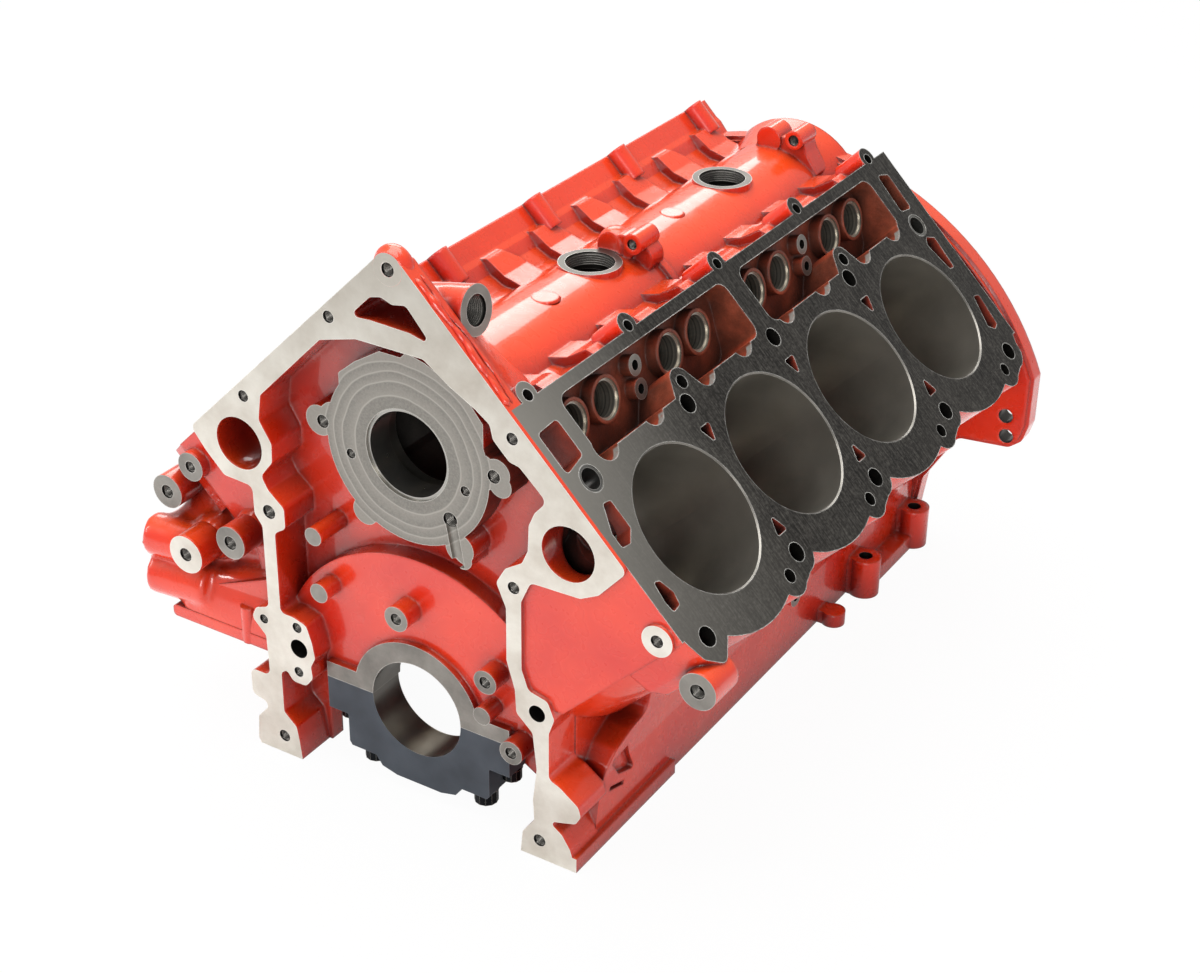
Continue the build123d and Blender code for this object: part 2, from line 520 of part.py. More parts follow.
block = block - cuts

os.makedirs("parts", exist_ok=True)


def save(name, *solids):
    moved = [Pos(0, -main_front, 0) * q for q in solids]
    export_step(moved[0] if len(moved) == 1 else Compound(moved), f"parts/{name}.step")


def cap(y, width):
    # one main bearing cap: ears for the outer bolts, a deep middle for the inner ones
    shape = both((0, 0), (cap_half, 0), (cap_half, -cap_ear), (cap_body_half + 0.8, -cap_ear),
                 (cap_body_half, -cap_ear - 1), (cap_body_half, -47), (inner_bolt_x + 10, -50),
                 (inner_bolt_x - 10, -50), (30, -cap_depth + 3), (18, -cap_depth), (0, -cap_depth))
    holes = [rod(0, 0, main_d / 2, y - width, y + width)]
    for side in (-1, 1):
        holes += [post(side * inner_bolt_x, y, inner_bolt_d / 2 + bolt_room, -cap_depth - 1, 1),
                  post(side * outer_bolt_x, y, outer_bolt_d / 2 + bolt_room, -cap_ear - 1, 1)]
    return prism(shape, y - width / 2, y + width / 2) - holes


def cap_bolt(x, y, seat, d, grip):
    # flanged twelve-point bolt, head down, its seat at the stated height
    head = post(x, y, d * 0.74, seat - 2.5, seat)
    head += extrude(Pos(x, y, seat - 2.5) * RegularPolygon(d * 0.68, 12), amount=-d * 0.85)
    return head + post(x, y, d / 2, seat, grip)


for i, (y, width) in enumerate(mains):
    save(f"main_cap_{i + 1}", cap(y, width))
    save(f"inner_cap_bolts_{i + 1}", *[cap_bolt(side * inner_bolt_x, y, -50, inner_bolt_d, bolt_grip)
                                       for side in (-1, 1)])
    save(f"outer_cap_bolts_{i + 1}", *[
        cap_bolt(side * outer_bolt_x, y, -cap_ear, outer_bolt_d, bolt_grip - 10) for side in (-1, 1)])

# Camshaft bearings, pressed into the housing bores
cam_rows = [cam_face_y + 1.5 + cam_bearing_width / 2] + mid_mains + [bell_front - rear_web / 2]
for i, y in enumerate(cam_rows):
    r = cam_housing_d / 2 - press_gap
    ring = rod(0, cam_height, r, y - cam_bearing_width / 2, y + cam_bearing_width / 2)
    save(f"cam_bearing_{i + 1}", ring - rod(0, cam_height, r - cam_bearing_wall, y - 40, y + 40))

# Cup plugs: the core plugs along both sides, and the large one behind the camshaft
plug_r = plug_d / 2 - press_gap
cup = Cylinder(plug_r, plug_depth) - Pos(0, 0, 2) * Cylinder(plug_r - 2, plug_depth)
head_dowel = Cylinder(dowel_d / 2, dowel_length) - Cylinder(dowel_bore / 2, 60)
dowel_middle = deck_height - 0.4 - dowel_length / 2
for name, put in (("right", same_bank), ("left", other_bank)):
    save(f"core_plugs_{name}", *[put(on_bank(y, barrel_r - 6, plug_h) * Rot(90, 0, 0) * cup) for y in bores])
    save(f"head_dowels_{name}", *[put(on_bank(y, -head_bolt_in, dowel_middle) * head_dowel)
                                  for y in (bolts[0], bolts[-1])])
rear_r = cam_housing_d / 2 - press_gap
save("cam_rear_plug", rod(0, cam_height, rear_r, block_rear - 12, block_rear - 2)
     - rod(0, cam_height, rear_r - 2.6, block_rear - 10, block_rear))
save("bell_dowels", *[
    rod(side * bell_dowel[0], bell_dowel[1], bell_dowel_d / 2, block_rear - 12, block_rear + 10)
    for side in (-1, 1)])
save("cylinder_block", block)
print("block solids", len(block.solids()), "litres", round(block.volume / 1e6, 2))
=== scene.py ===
# %% [markdown]
# # A bare V8 cylinder block
#
# The block is one iron casting. Most of its skin is glossy red enamel over rough cast iron. The faces that
# meet another part are machined after painting, so they are bare metal: the pale front face, the dark decks,
# the bores. The shape comes ready from the CAD frame. This lesson gives each surface the finish that its
# making leaves, and adds the small turned and cast details that are too fine for the CAD model.

# %% Load the frame
import bpy
import bmesh
import math
import numpy as np
from mathutils import Matrix, Vector


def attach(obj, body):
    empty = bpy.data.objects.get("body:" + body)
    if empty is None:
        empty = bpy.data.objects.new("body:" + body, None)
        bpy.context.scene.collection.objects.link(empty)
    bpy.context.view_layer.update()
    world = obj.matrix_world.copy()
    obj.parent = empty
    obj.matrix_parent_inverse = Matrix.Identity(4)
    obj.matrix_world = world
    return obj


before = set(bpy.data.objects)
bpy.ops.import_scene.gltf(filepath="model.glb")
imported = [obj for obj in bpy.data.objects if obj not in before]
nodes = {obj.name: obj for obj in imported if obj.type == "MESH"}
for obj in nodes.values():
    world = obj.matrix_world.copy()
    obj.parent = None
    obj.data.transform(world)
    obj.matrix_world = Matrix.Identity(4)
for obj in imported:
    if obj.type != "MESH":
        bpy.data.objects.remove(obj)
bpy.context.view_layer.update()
MM = 0.001
print("pieces from the frame:", len(nodes))

# %% [markdown]
# ## The camera
#
# The photograph was taken from the front right, about 30 degrees above the table. A perspective camera was
# fitted to known points of the engine, so the place of the lens, its length and its small roll are written
# down as numbers. The frame is 1200 by 973 pixels, and the sensor width fits the longer side.

# %% Place the camera
AZIMUTH, ELEVATION, ROLL = (math.radians(a) for a in (31.5, 29.7, 0.8))
TARGET = Vector((-7.5, 238.0, 52.1)) * MM
DISTANCE = 1573.8 * MM
LENS_MM = 65.2

back = Vector((math.sin(AZIMUTH) * math.cos(ELEVATION), -math.cos(AZIMUTH) * math.cos(ELEVATION),
               math.sin(ELEVATION)))
right = (-back).cross(Vector((0, 0, 1))).normalized()
up = right.cross(-back)
rolled_right = math.cos(ROLL) * right + math.sin(ROLL) * up
rolled_up = math.cos(ROLL) * up - math.sin(ROLL) * right

lens = bpy.data.cameras.new("product_camera")
lens.sensor_fit = "HORIZONTAL"
lens.sensor_width = 36.0
lens.lens = LENS_MM
lens.clip_start = 0.05
lens.clip_end = 100
camera = bpy.data.objects.new("product_camera", lens)
camera.matrix_world = Matrix.Translation(TARGET + back * DISTANCE) @ Matrix(
    (rolled_right, rolled_up, back)).transposed().to_4x4()
bpy.context.scene.collection.objects.link(camera)
bpy.context.scene.camera = camera
bpy.context.scene.view_settings.view_transform = "Standard"
print("camera at", [round(x, 3) for x in camera.matrix_world.translation])

# %% [markdown]
# ## Helpers for materials
#
# Colours are easiest to read as the hex values of a paint chart. Blender works with linear light, so one
# function turns a hex value into linear numbers. A second one links or sets the inputs of a node, and a third
# adds a node with its settings. Every pattern's scale is worked out from a size in millimetres.

# %% Colour and node helpers
def linear(hex_value):
    parts = [int(hex_value[i:i + 2], 16) / 255 for i in (1, 3, 5)]
    return [c / 12.92 if c <= 0.04045 else ((c + 0.055) / 1.055) ** 2.4 for c in parts] + [1.0]


def connect(tree, node, inputs):
    for name, value in inputs.items():
        if isinstance(value, bpy.types.NodeSocket):
            tree.links.new(value, node.inputs[name])
        else:
            node.inputs[name].default_value = linear(value) if isinstance(value, str) else value


def add_node(tree, kind, inputs, stops=(), **settings):
    node = tree.nodes.new(kind)
    for name, value in settings.items():
        setattr(node, name, value)
    for k, (place, colour) in enumerate(stops):
        element = node.color_ramp.elements[k] if k < 2 else node.color_ramp.elements.new(place)
        element.position = place
        element.color = linear(colour)
    connect(tree, node, inputs)
    return node.outputs


def new_material(name):
    material = bpy.data.materials.new(name)
    material.use_nodes = True
    tree = material.node_tree
    where = add_node(tree, "ShaderNodeTexCoord", {})["Object"]
    return material, tree, tree.nodes["Principled BSDF"], where


def per_mm(size_mm):
    # noise scale at which one lump is about as large as the stated size
    return 1000.0 / size_mm


print("white is", linear("#FFFFFF"))

# %% [markdown]
# Two masks are needed by several finishes. The first finds edges: the Bevel node gives the direction that a
# rounded edge would face, and where that differs from the true direction there is an edge. The second finds
# recesses, where little of the room can be seen, so that painted shade can be put into them.

# %% Masks for edges and recesses
def edge_mask(tree, width_mm):
    rounded = add_node(tree, "ShaderNodeBevel", {"Radius": width_mm * MM}, samples=5)["Normal"]
    flat = add_node(tree, "ShaderNodeNewGeometry", {})["Normal"]
    agree = add_node(tree, "ShaderNodeVectorMath", {0: rounded, 1: flat}, operation="DOT_PRODUCT")["Value"]
    return add_node(tree, "ShaderNodeMapRange", {
        "Value": agree, "From Min": 0.86, "From Max": 0.999, "To Min": 1.0, "To Max": 0.0})["Result"]


def painted_shade_mask(tree, reach_mm, closed=0.25, wide_open=0.8):
    # one in a narrow recess and zero on an open face; it places painted shade
    seen = add_node(tree, "ShaderNodeAmbientOcclusion", {"Distance": reach_mm * MM}, samples=6)["AO"]
    return add_node(tree, "ShaderNodeMapRange", {
        "Value": seen, "From Min": closed, "From Max": wide_open, "To Min": 1.0, "To Max": 0.0})["Result"]


print("masks ready")

# %% [markdown]
# ## Glossy enamel on cast iron
#
# The casting was blasted and sprayed with engine enamel. The paint is smooth and wet-looking, but the
# sand-cast skin under it still shows as soft lumps, and every edge that wasn't machined is rounded. The Bevel
# node rounds the shading of those edges, and a coat over the colour gives the hard, clear reflections of
# enamel. The red is deeper where the paint is thick and more orange where it lies thin. Recesses are painted
# a dark red, a painted shade, and faces that look up are painted orange, a painted light from the lamps
# above.

# %% Make the enamel
def enamel_on_cast_iron(name, thick, thin, top_light_colour, painted_recess_shade):
    material, tree, shader, where = new_material(name)
    cloud = add_node(tree, "ShaderNodeTexNoise", {"Vector": where, "Scale": per_mm(70), "Detail": 2.0})["Fac"]
    lumps = add_node(tree, "ShaderNodeTexNoise", {"Vector": where, "Scale": per_mm(24), "Detail": 1.0})["Fac"]
    peel = add_node(tree, "ShaderNodeTexNoise", {"Vector": where, "Scale": per_mm(8), "Detail": 1.0})["Fac"]
    facing = add_node(tree, "ShaderNodeNewGeometry", {})["Normal"]
    height = add_node(tree, "ShaderNodeSeparateXYZ", {"Vector": facing})["Z"]
    # faces that look up are painted orange: painted light from the lamps above
    looks_up = add_node(tree, "ShaderNodeMapRange", {
        "Value": height, "From Min": 0.5, "From Max": 0.95, "To Min": 0.0, "To Max": 0.75})["Result"]
    film = add_node(tree, "ShaderNodeValToRGB", {"Fac": cloud}, stops=((0.3, thick), (0.7, thin)))["Color"]
    painted_top_light = add_node(tree, "ShaderNodeMixRGB", {"Fac": looks_up, "Color1": film, "Color2": top_light_colour})["Color"]
    # recesses are painted a dark red: painted shade
    colour = add_node(tree, "ShaderNodeMixRGB", {
        "Fac": painted_shade_mask(tree, 45), "Color1": painted_top_light, "Color2": painted_recess_shade})["Color"]
    gloss = add_node(tree, "ShaderNodeMapRange", {
        "Value": peel, "From Min": 0.3, "From Max": 0.7, "To Min": 0.24, "To Max": 0.34})["Result"]
    rounded = add_node(tree, "ShaderNodeBevel", {"Radius": 3.6 * MM}, samples=8)["Normal"]
    soft = add_node(tree, "ShaderNodeBump", {
        "Height": lumps, "Distance": 0.8 * MM, "Strength": 1.0, "Normal": rounded})["Normal"]
    skin = add_node(tree, "ShaderNodeBump", {
        "Height": peel, "Distance": 0.1 * MM, "Strength": 1.0, "Normal": soft})["Normal"]
    connect(tree, shader, {"Base Color": colour, "Roughness": gloss, "IOR": 1.5, "Coat Weight": 0.8,
                           "Coat Roughness": 0.04, "Coat IOR": 1.5, "Normal": skin})
    return material


# the third colour is the painted top light, the fourth the painted shade in recesses
enamel = enamel_on_cast_iron("glossy_enamel_on_cast_iron", "#D4220A", "#EA3A12", "#F4521A", "#64100A")
print("made", enamel.name)

# %% [markdown]
# ## Face-milled cast iron
#
# A milling cutter with many teeth leaves cast iron matt and pale, with faint overlapping marks. Flakes of
# graphite keep it from shining like steel. The front face was cut last and is the palest. Its upper end is
# painted a little darker, a painted dark reflection. The spot faces round the screw holes are finer and
# darker.

# %% Make the milled faces
DARK_TOP_FROM, DARK_TOP_TO = 150.0, 320.0


def milled_iron(name, dark, light, edge, roughness, metal, mark_mm, mark_depth, dark_top_share):
    material, tree, shader, where = new_material(name)
    cloud = add_node(tree, "ShaderNodeTexNoise", {
        "Vector": where, "Scale": per_mm(35), "Detail": 5.0, "Roughness": 0.65})["Fac"]
    drawn_out = add_node(tree, "ShaderNodeMapping", {"Vector": where, "Scale": (0.12, 1.0, 1.0)})["Vector"]
    marks = add_node(tree, "ShaderNodeTexNoise", {
        "Vector": drawn_out, "Scale": per_mm(mark_mm), "Detail": 2.0, "Roughness": 0.6})["Fac"]
    grit = add_node(tree, "ShaderNodeTexNoise", {
        "Vector": where, "Scale": per_mm(1.1), "Detail": 2.0, "Roughness": 0.7})["Fac"]
    relief = add_node(tree, "ShaderNodeMath", {0: marks, 1: grit}, operation="ADD")["Value"]
    patchy = add_node(tree, "ShaderNodeTexNoise", {"Vector": where, "Scale": per_mm(9), "Detail": 2.0})["Fac"]
    patchy = add_node(tree, "ShaderNodeMapRange", {
        "Value": patchy, "From Min": 0.35, "From Max": 0.6, "To Min": 0.3, "To Max": 1.0})["Result"]
    # bright edge line: partly worn bare metal, partly a painted highlight
    worn_and_highlit_edge = add_node(tree, "ShaderNodeMath", {0: edge_mask(tree, 0.9), 1: patchy},
                    operation="MULTIPLY")["Value"]
    clean = add_node(tree, "ShaderNodeValToRGB", {"Fac": cloud}, stops=((0.3, dark), (0.7, light)))["Color"]
    up_high = add_node(tree, "ShaderNodeSeparateXYZ", {"Vector": where})["Z"]
    # darker towards the top: a painted dark reflection
    painted_dark_top = add_node(tree, "ShaderNodeMapRange", {
        "Value": up_high, "From Min": DARK_TOP_FROM * MM, "From Max": DARK_TOP_TO * MM,
        "To Min": 0.0, "To Max": dark_top_share})["Result"]
    face = add_node(tree, "ShaderNodeMixRGB", {"Fac": painted_dark_top, "Color1": clean, "Color2": "#7E786E"})["Color"]
    colour = add_node(tree, "ShaderNodeMixRGB", {"Fac": worn_and_highlit_edge, "Color1": face, "Color2": edge})["Color"]
    rough = add_node(tree, "ShaderNodeMapRange", {
        "Value": marks, "To Min": roughness - 0.07, "To Max": roughness + 0.1})["Result"]
    cut = add_node(tree, "ShaderNodeBump", {
        "Height": relief, "Distance": mark_depth * MM, "Strength": 1.0})["Normal"]
    connect(tree, shader, {"Base Color": colour, "Metallic": metal, "Roughness": rough, "Normal": cut})
    return material


front_face = milled_iron("face_milled_iron_front", "#C8C0B4", "#E9E5DB", "#F8F5EE",
                         roughness=0.44, metal=0.5, mark_mm=3.0, mark_depth=0.02, dark_top_share=0.5)
boss_face = milled_iron("spot_faced_iron_boss", "#6F6C67", "#9B9790", "#E2DFD8",
                        roughness=0.36, metal=0.8, mark_mm=1.5, mark_depth=0.015, dark_top_share=0.0)
print("made", front_face.name, "and", boss_face.name)

# %% [markdown]
# The deck is milled with a fine feed and then lies bare, so it darkens. Its colour is nearly black, partly
# that darkened iron and partly a painted dark reflection, with long fine scratches across it. Towards the
# front end and higher up it is painted lighter, a painted reflection. A bright line is painted along every
# edge, partly the bare burr and partly a painted highlight.

# %% Make the deck
REFLECTION_FROM, REFLECTION_TO = -10.0, 130.0
LOW_END, HIGH_END = 100.0, 230.0
deck_face, tree, shader, where = new_material("face_milled_iron_deck")
place = add_node(tree, "ShaderNodeSeparateXYZ", {"Vector": where})
drawn_out = add_node(tree, "ShaderNodeMapping", {"Vector": where, "Scale": (0.08, 1.0, 0.08)})["Vector"]
fine_marks = add_node(tree, "ShaderNodeTexNoise", {
    "Vector": drawn_out, "Scale": per_mm(1.1), "Detail": 3.0, "Roughness": 0.7})["Fac"]
stipple = add_node(tree, "ShaderNodeTexNoise", {
    "Vector": where, "Scale": per_mm(2.2), "Detail": 4.0, "Roughness": 0.75})["Fac"]
scratches = add_node(tree, "ShaderNodeMath", {0: fine_marks, 1: stipple}, operation="MULTIPLY")["Value"]
# lighter towards the front end and higher up: a painted reflection
near_front = add_node(tree, "ShaderNodeMapRange", {
    "Value": place["Y"], "From Min": REFLECTION_FROM * MM, "From Max": REFLECTION_TO * MM,
    "To Min": 1.0, "To Max": 0.0})["Result"]
up_high = add_node(tree, "ShaderNodeMapRange", {
    "Value": place["Z"], "From Min": LOW_END * MM, "From Max": HIGH_END * MM,
    "To Min": 0.3, "To Max": 1.0})["Result"]
painted_front_reflection = add_node(tree, "ShaderNodeMath", {0: near_front, 1: up_high}, operation="MULTIPLY")["Value"]
cloud = add_node(tree, "ShaderNodeTexNoise", {
    "Vector": where, "Scale": per_mm(40), "Detail": 5.0, "Roughness": 0.6})["Fac"]
# nearly black: partly darkened bare iron, partly a painted dark reflection
dark_iron_and_reflection = add_node(tree, "ShaderNodeValToRGB", {"Fac": cloud},
                  stops=((0.3, "#262422"), (0.7, "#3E3B37")))["Color"]
scratched = add_node(tree, "ShaderNodeMapRange", {
    "Value": scratches, "From Min": 0.2, "From Max": 0.4, "To Min": 0.0, "To Max": 0.5})["Result"]
dark_iron_and_reflection = add_node(tree, "ShaderNodeMixRGB", {
    "Fac": scratched, "Color1": dark_iron_and_reflection, "Color2": "#85817A"})["Color"]
dark_iron_and_reflection = add_node(tree, "ShaderNodeMixRGB", {
    "Fac": painted_front_reflection, "Color1": dark_iron_and_reflection, "Color2": "#A29E96"})["Color"]
uneven = add_node(tree, "ShaderNodeTexNoise", {"Vector": where, "Scale": per_mm(6), "Detail": 3.0})["Fac"]
uneven = add_node(tree, "ShaderNodeMapRange", {
    "Value": uneven, "From Min": 0.35, "From Max": 0.55, "To Min": 0.35, "To Max": 1.0})["Result"]
# near-white edge line: partly the bare burr, partly a painted highlight
burr_and_highlight = add_node(tree, "ShaderNodeMath", {0: edge_mask(tree, 1.2), 1: uneven}, operation="MULTIPLY")["Value"]
colour = add_node(tree, "ShaderNodeMixRGB", {"Fac": burr_and_highlight, "Color1": dark_iron_and_reflection, "Color2": "#F2F0EA"})["Color"]
metal = add_node(tree, "ShaderNodeMapRange", {"Value": burr_and_highlight, "To Min": 0.85, "To Max": 0.3})["Result"]
rough = add_node(tree, "ShaderNodeMapRange", {
    "Value": scratches, "From Min": 0.1, "From Max": 0.5, "To Min": 0.3, "To Max": 0.48})["Result"]
cut = add_node(tree, "ShaderNodeBump", {
    "Height": scratches, "Distance": 0.02 * MM, "Strength": 1.0})["Normal"]
connect(tree, shader, {"Base Color": colour, "Metallic": metal, "Roughness": rough, "Normal": cut})
print("made", deck_face.name)

# %% [markdown]
# ## Bored, honed and drilled iron
#
# A cylinder bore is honed with stones that turn and stroke at once. It looks dark, because it mirrors itself,
# with a soft light band where it faces the lamps. Drilled and tapped holes are painted darker still, a
# painted shade for the inside of a narrow hole. Reamed lifter bores show faint rings, because the reamer
# turns as it comes out, so their noise changes along the bore alone.

# %% Make the bored finishes
LIFTER_TILT = math.radians(17.8)


def bored_iron(name, dark, light, roughness, edge="#C9C5BD", metal=0.95, ringed=False):
    material, tree, shader, where = new_material(name)
    cloud = add_node(tree, "ShaderNodeTexNoise", {"Vector": where, "Scale": per_mm(30), "Detail": 3.0})["Fac"]
    grit = add_node(tree, "ShaderNodeTexNoise", {
        "Vector": where, "Scale": per_mm(0.9), "Detail": 2.0, "Roughness": 0.7})["Fac"]
    if ringed:
        mirrored = add_node(tree, "ShaderNodeVectorMath", {0: where}, operation="ABSOLUTE")["Vector"]
        bore_line = (math.cos(LIFTER_TILT), 0, math.sin(LIFTER_TILT))
        along = add_node(tree, "ShaderNodeVectorMath", {0: mirrored, 1: bore_line},
                         operation="DOT_PRODUCT")["Value"]
        cloud = add_node(tree, "ShaderNodeTexNoise", {
            "W": along, "Scale": per_mm(2.2), "Detail": 3.0}, noise_dimensions="1D")["Fac"]
    wall = add_node(tree, "ShaderNodeValToRGB", {"Fac": cloud}, stops=((0.3, dark), (0.7, light)))["Color"]
    # edges take the edge colour; where it is brighter than the wall, it is partly the bare chamfer and partly
    # a painted highlight
    colour = add_node(tree, "ShaderNodeMixRGB", {
        "Fac": edge_mask(tree, 0.7), "Color1": wall, "Color2": edge})["Color"]
    rough = add_node(tree, "ShaderNodeMapRange", {
        "Value": cloud, "To Min": roughness - 0.04, "To Max": roughness + 0.05})["Result"]
    cut = add_node(tree, "ShaderNodeBump", {"Height": grit, "Distance": 0.01 * MM, "Strength": 1.0})["Normal"]
    connect(tree, shader, {"Base Color": colour, "Metallic": metal, "Roughness": rough, "Normal": cut})
    return material


honed_bore = bored_iron("honed_iron_bore", "#ACA79E", "#BDB8AE", 0.35, "#8A867F", metal=0.92)
bore_chamfer = bored_iron("chamfered_iron_edge", "#6A6762", "#8E8A83", 0.35, "#B9B5AD")
reamed_bore = bored_iron("reamed_iron_bore", "#75716A", "#BDB7AB", 0.32, "#C9C5BD", metal=0.85, ringed=True)
bored_housing = bored_iron("bored_iron_housing", "#8E8B85", "#AAA69F", 0.28)
# these two are painted dark: painted shade for the inside of a narrow hole
drilled_hole = bored_iron("drilled_iron_hole", "#34322F", "#55524E", 0.36, "#D6D3CB")
tapped_hole = bored_iron("tapped_iron_hole", "#24221F", "#3A3734", 0.38, "#A19D96", metal=0.7)
# a darker copy of the spot-faced iron for the face that looks up into the lamps: painted shade
valley_spot_face_shaded = bored_iron("spot_faced_iron_valley_shaded", "#5A5752", "#726E68", 0.42, "#E4E1DA")
print("made seven bored finishes")

# %% [markdown]
# The thrust face round the camshaft is turned in steps. Each pass of the tool ends in a thin bright line, and
# the lines waver a little where the casting is harder.

# %% Make the turned thrust face
CAM_HEIGHT = 190.0
RING_REACH = 80.0
RING_LINES = (39.5, 48.9, 55.5, 62.0)
LINE_RISE, LINE_FALL = 0.9, 0.7
cam_face, tree, shader, where = new_material("turned_iron_thrust_face")
moved = add_node(tree, "ShaderNodeVectorMath", {0: where, 1: (0, 0, CAM_HEIGHT * MM)},
                 operation="SUBTRACT")["Vector"]
flat = add_node(tree, "ShaderNodeVectorMath", {0: moved, 1: (1 / MM, 0, 1 / MM)},
                operation="MULTIPLY")["Vector"]
out = add_node(tree, "ShaderNodeVectorMath", {0: flat}, operation="LENGTH")["Value"]
hard_spots = add_node(tree, "ShaderNodeTexNoise", {
    "Vector": where, "Scale": per_mm(26), "Detail": 1.0})["Fac"]
wobble = add_node(tree, "ShaderNodeMapRange", {
    "Value": hard_spots, "From Min": 0.3, "From Max": 0.7, "To Min": -0.8, "To Max": 0.8})["Result"]
out = add_node(tree, "ShaderNodeMath", {0: out, 1: wobble}, operation="ADD")["Value"]
share = add_node(tree, "ShaderNodeMath", {0: out, 1: RING_REACH}, operation="DIVIDE")["Value"]
stops = [(0.0, "#77746E")]
for line in RING_LINES:
    stops += [((line - LINE_RISE) / RING_REACH, "#7C7973"), (line / RING_REACH, "#ABA79F"),
              ((line + LINE_FALL) / RING_REACH, "#8E8A83")]
passes = add_node(tree, "ShaderNodeValToRGB", {"Fac": share}, stops=stops)["Color"]
grain = add_node(tree, "ShaderNodeTexNoise", {
    "Vector": where, "Scale": per_mm(1.4), "Detail": 3.0, "Roughness": 0.7})["Fac"]
grainy = add_node(tree, "ShaderNodeMapRange", {
    "Value": grain, "From Min": 0.35, "From Max": 0.75, "To Min": 0.0, "To Max": 0.5})["Result"]
turned = add_node(tree, "ShaderNodeMixRGB", {"Fac": grainy, "Color1": passes, "Color2": "#A39F97"})["Color"]
# pale edge line: partly the bare edge, partly a painted highlight
colour = add_node(tree, "ShaderNodeMixRGB", {
    "Fac": edge_mask(tree, 0.9), "Color1": turned, "Color2": "#D5D2CA"})["Color"]
rough = add_node(tree, "ShaderNodeMapRange", {"Value": grain, "To Min": 0.34, "To Max": 0.5})["Result"]
cut = add_node(tree, "ShaderNodeBump", {"Height": grain, "Distance": 0.02 * MM, "Strength": 1.0})["Normal"]
connect(tree, shader, {"Base Color": colour, "Metallic": 0.75, "Roughness": rough, "Normal": cut})
print("made", cam_face.name)

# %% [markdown]
# ## Primed casting inside the lifter pockets
#
# The pockets are open when the block is sprayed, but little enamel gets in. They show rusty primer, rough and
# matt, with some red mist on the walls that look up. Just under the deck, a cutter that cleared the lobes for
# the push rods has left a bare grey band. The same rough skin, in other colours, lines the water jacket, the
# camshaft tunnel and the crankcase. In all of them the recesses are painted dark, a painted shade.

# %% Make the rough castings
DECK_HEIGHT = 234.95
DIAGONAL = math.sqrt(0.5)
BAND_DEPTH, LOBE_START = 5.0, -63.5


def rough_casting(name, shades, mist, shade_in_depths, rough, grain_mm=0.2, reach_mm=22, banded=False):
    material, tree, shader, where = new_material(name)
    cloud = add_node(tree, "ShaderNodeTexNoise", {
        "Vector": where, "Scale": per_mm(18), "Detail": 4.0, "Roughness": 0.6})["Fac"]
    skin = add_node(tree, "ShaderNodeTexNoise", {
        "Vector": where, "Scale": per_mm(2.4), "Detail": 4.0, "Roughness": 0.65})["Fac"]
    base = add_node(tree, "ShaderNodeValToRGB", {"Fac": cloud}, stops=(
        (0.25, shades[0]), (0.5, shades[1]), (0.75, shades[2])))["Color"]
    facing = add_node(tree, "ShaderNodeNewGeometry", {})["Normal"]
    height = add_node(tree, "ShaderNodeSeparateXYZ", {"Vector": facing})["Z"]
    looks_up = add_node(tree, "ShaderNodeMapRange", {
        "Value": height, "From Min": 0.45, "From Max": 0.75, "To Min": 0.0, "To Max": 0.8})["Result"]
    colour = add_node(tree, "ShaderNodeMixRGB", {"Fac": looks_up, "Color1": base, "Color2": mist})["Color"]
    # recesses are painted dark: painted shade
    colour = add_node(tree, "ShaderNodeMixRGB", {
        "Fac": painted_shade_mask(tree, reach_mm, 0.15, 0.7), "Color1": colour, "Color2": shade_in_depths})["Color"]
    if banded:
        mirrored = add_node(tree, "ShaderNodeVectorMath", {0: where}, operation="ABSOLUTE")["Vector"]
        risen = add_node(tree, "ShaderNodeVectorMath", {
            0: mirrored, 1: (DIAGONAL, 0, DIAGONAL)}, operation="DOT_PRODUCT")["Value"]
        across = add_node(tree, "ShaderNodeVectorMath", {
            0: mirrored, 1: (DIAGONAL, 0, -DIAGONAL)}, operation="DOT_PRODUCT")["Value"]
        high = add_node(tree, "ShaderNodeMapRange", {
            "Value": risen, "From Min": (DECK_HEIGHT - BAND_DEPTH - 0.4) * MM,
            "From Max": (DECK_HEIGHT - BAND_DEPTH + 0.4) * MM})["Result"]
        on_lobe = add_node(tree, "ShaderNodeMapRange", {
            "Value": across, "From Min": (LOBE_START - 0.5) * MM,
            "From Max": (LOBE_START + 0.5) * MM})["Result"]
        chatter = add_node(tree, "ShaderNodeMapRange", {
            "Value": skin, "From Min": 0.3, "From Max": 0.5, "To Min": 0.45, "To Max": 1.0})["Result"]
        band = add_node(tree, "ShaderNodeMath", {0: high, 1: on_lobe}, operation="MULTIPLY")["Value"]
        band = add_node(tree, "ShaderNodeMath", {0: band, 1: chatter}, operation="MULTIPLY")["Value"]
        colour = add_node(tree, "ShaderNodeMixRGB", {
            "Fac": band, "Color1": colour, "Color2": "#908D87"})["Color"]
    matt = add_node(tree, "ShaderNodeMapRange", {
        "Value": skin, "To Min": rough, "To Max": rough + 0.25})["Result"]
    rounded = add_node(tree, "ShaderNodeBevel", {"Radius": 2.0 * MM}, samples=6)["Normal"]
    sandy = add_node(tree, "ShaderNodeBump", {
        "Height": skin, "Distance": grain_mm * MM, "Strength": 1.0, "Normal": rounded})["Normal"]
    connect(tree, shader, {"Base Color": colour, "Roughness": matt, "Normal": sandy})
    return material


primer = rough_casting("primed_rough_casting", ("#54291B", "#7E3D29", "#A35038"), "#BC4A2C", "#2E1912",
                       rough=0.34, grain_mm=0.35, banded=True)
rusty_core = rough_casting("rusty_water_jacket", ("#7E2412", "#A8371D", "#C04A2A"), "#B8401F", "#120705",
                           rough=0.45, reach_mm=60)
# nearly black: partly the raw unpainted iron, partly a painted shade inside the tunnel and crankcase
raw_iron_and_shade = rough_casting("shaded_raw_casting", ("#171412", "#221E1B", "#302B27"), "#332E2A", "#0C0A09",
                         rough=0.6)
print("made", primer.name, rusty_core.name, raw_iron_and_shade.name)

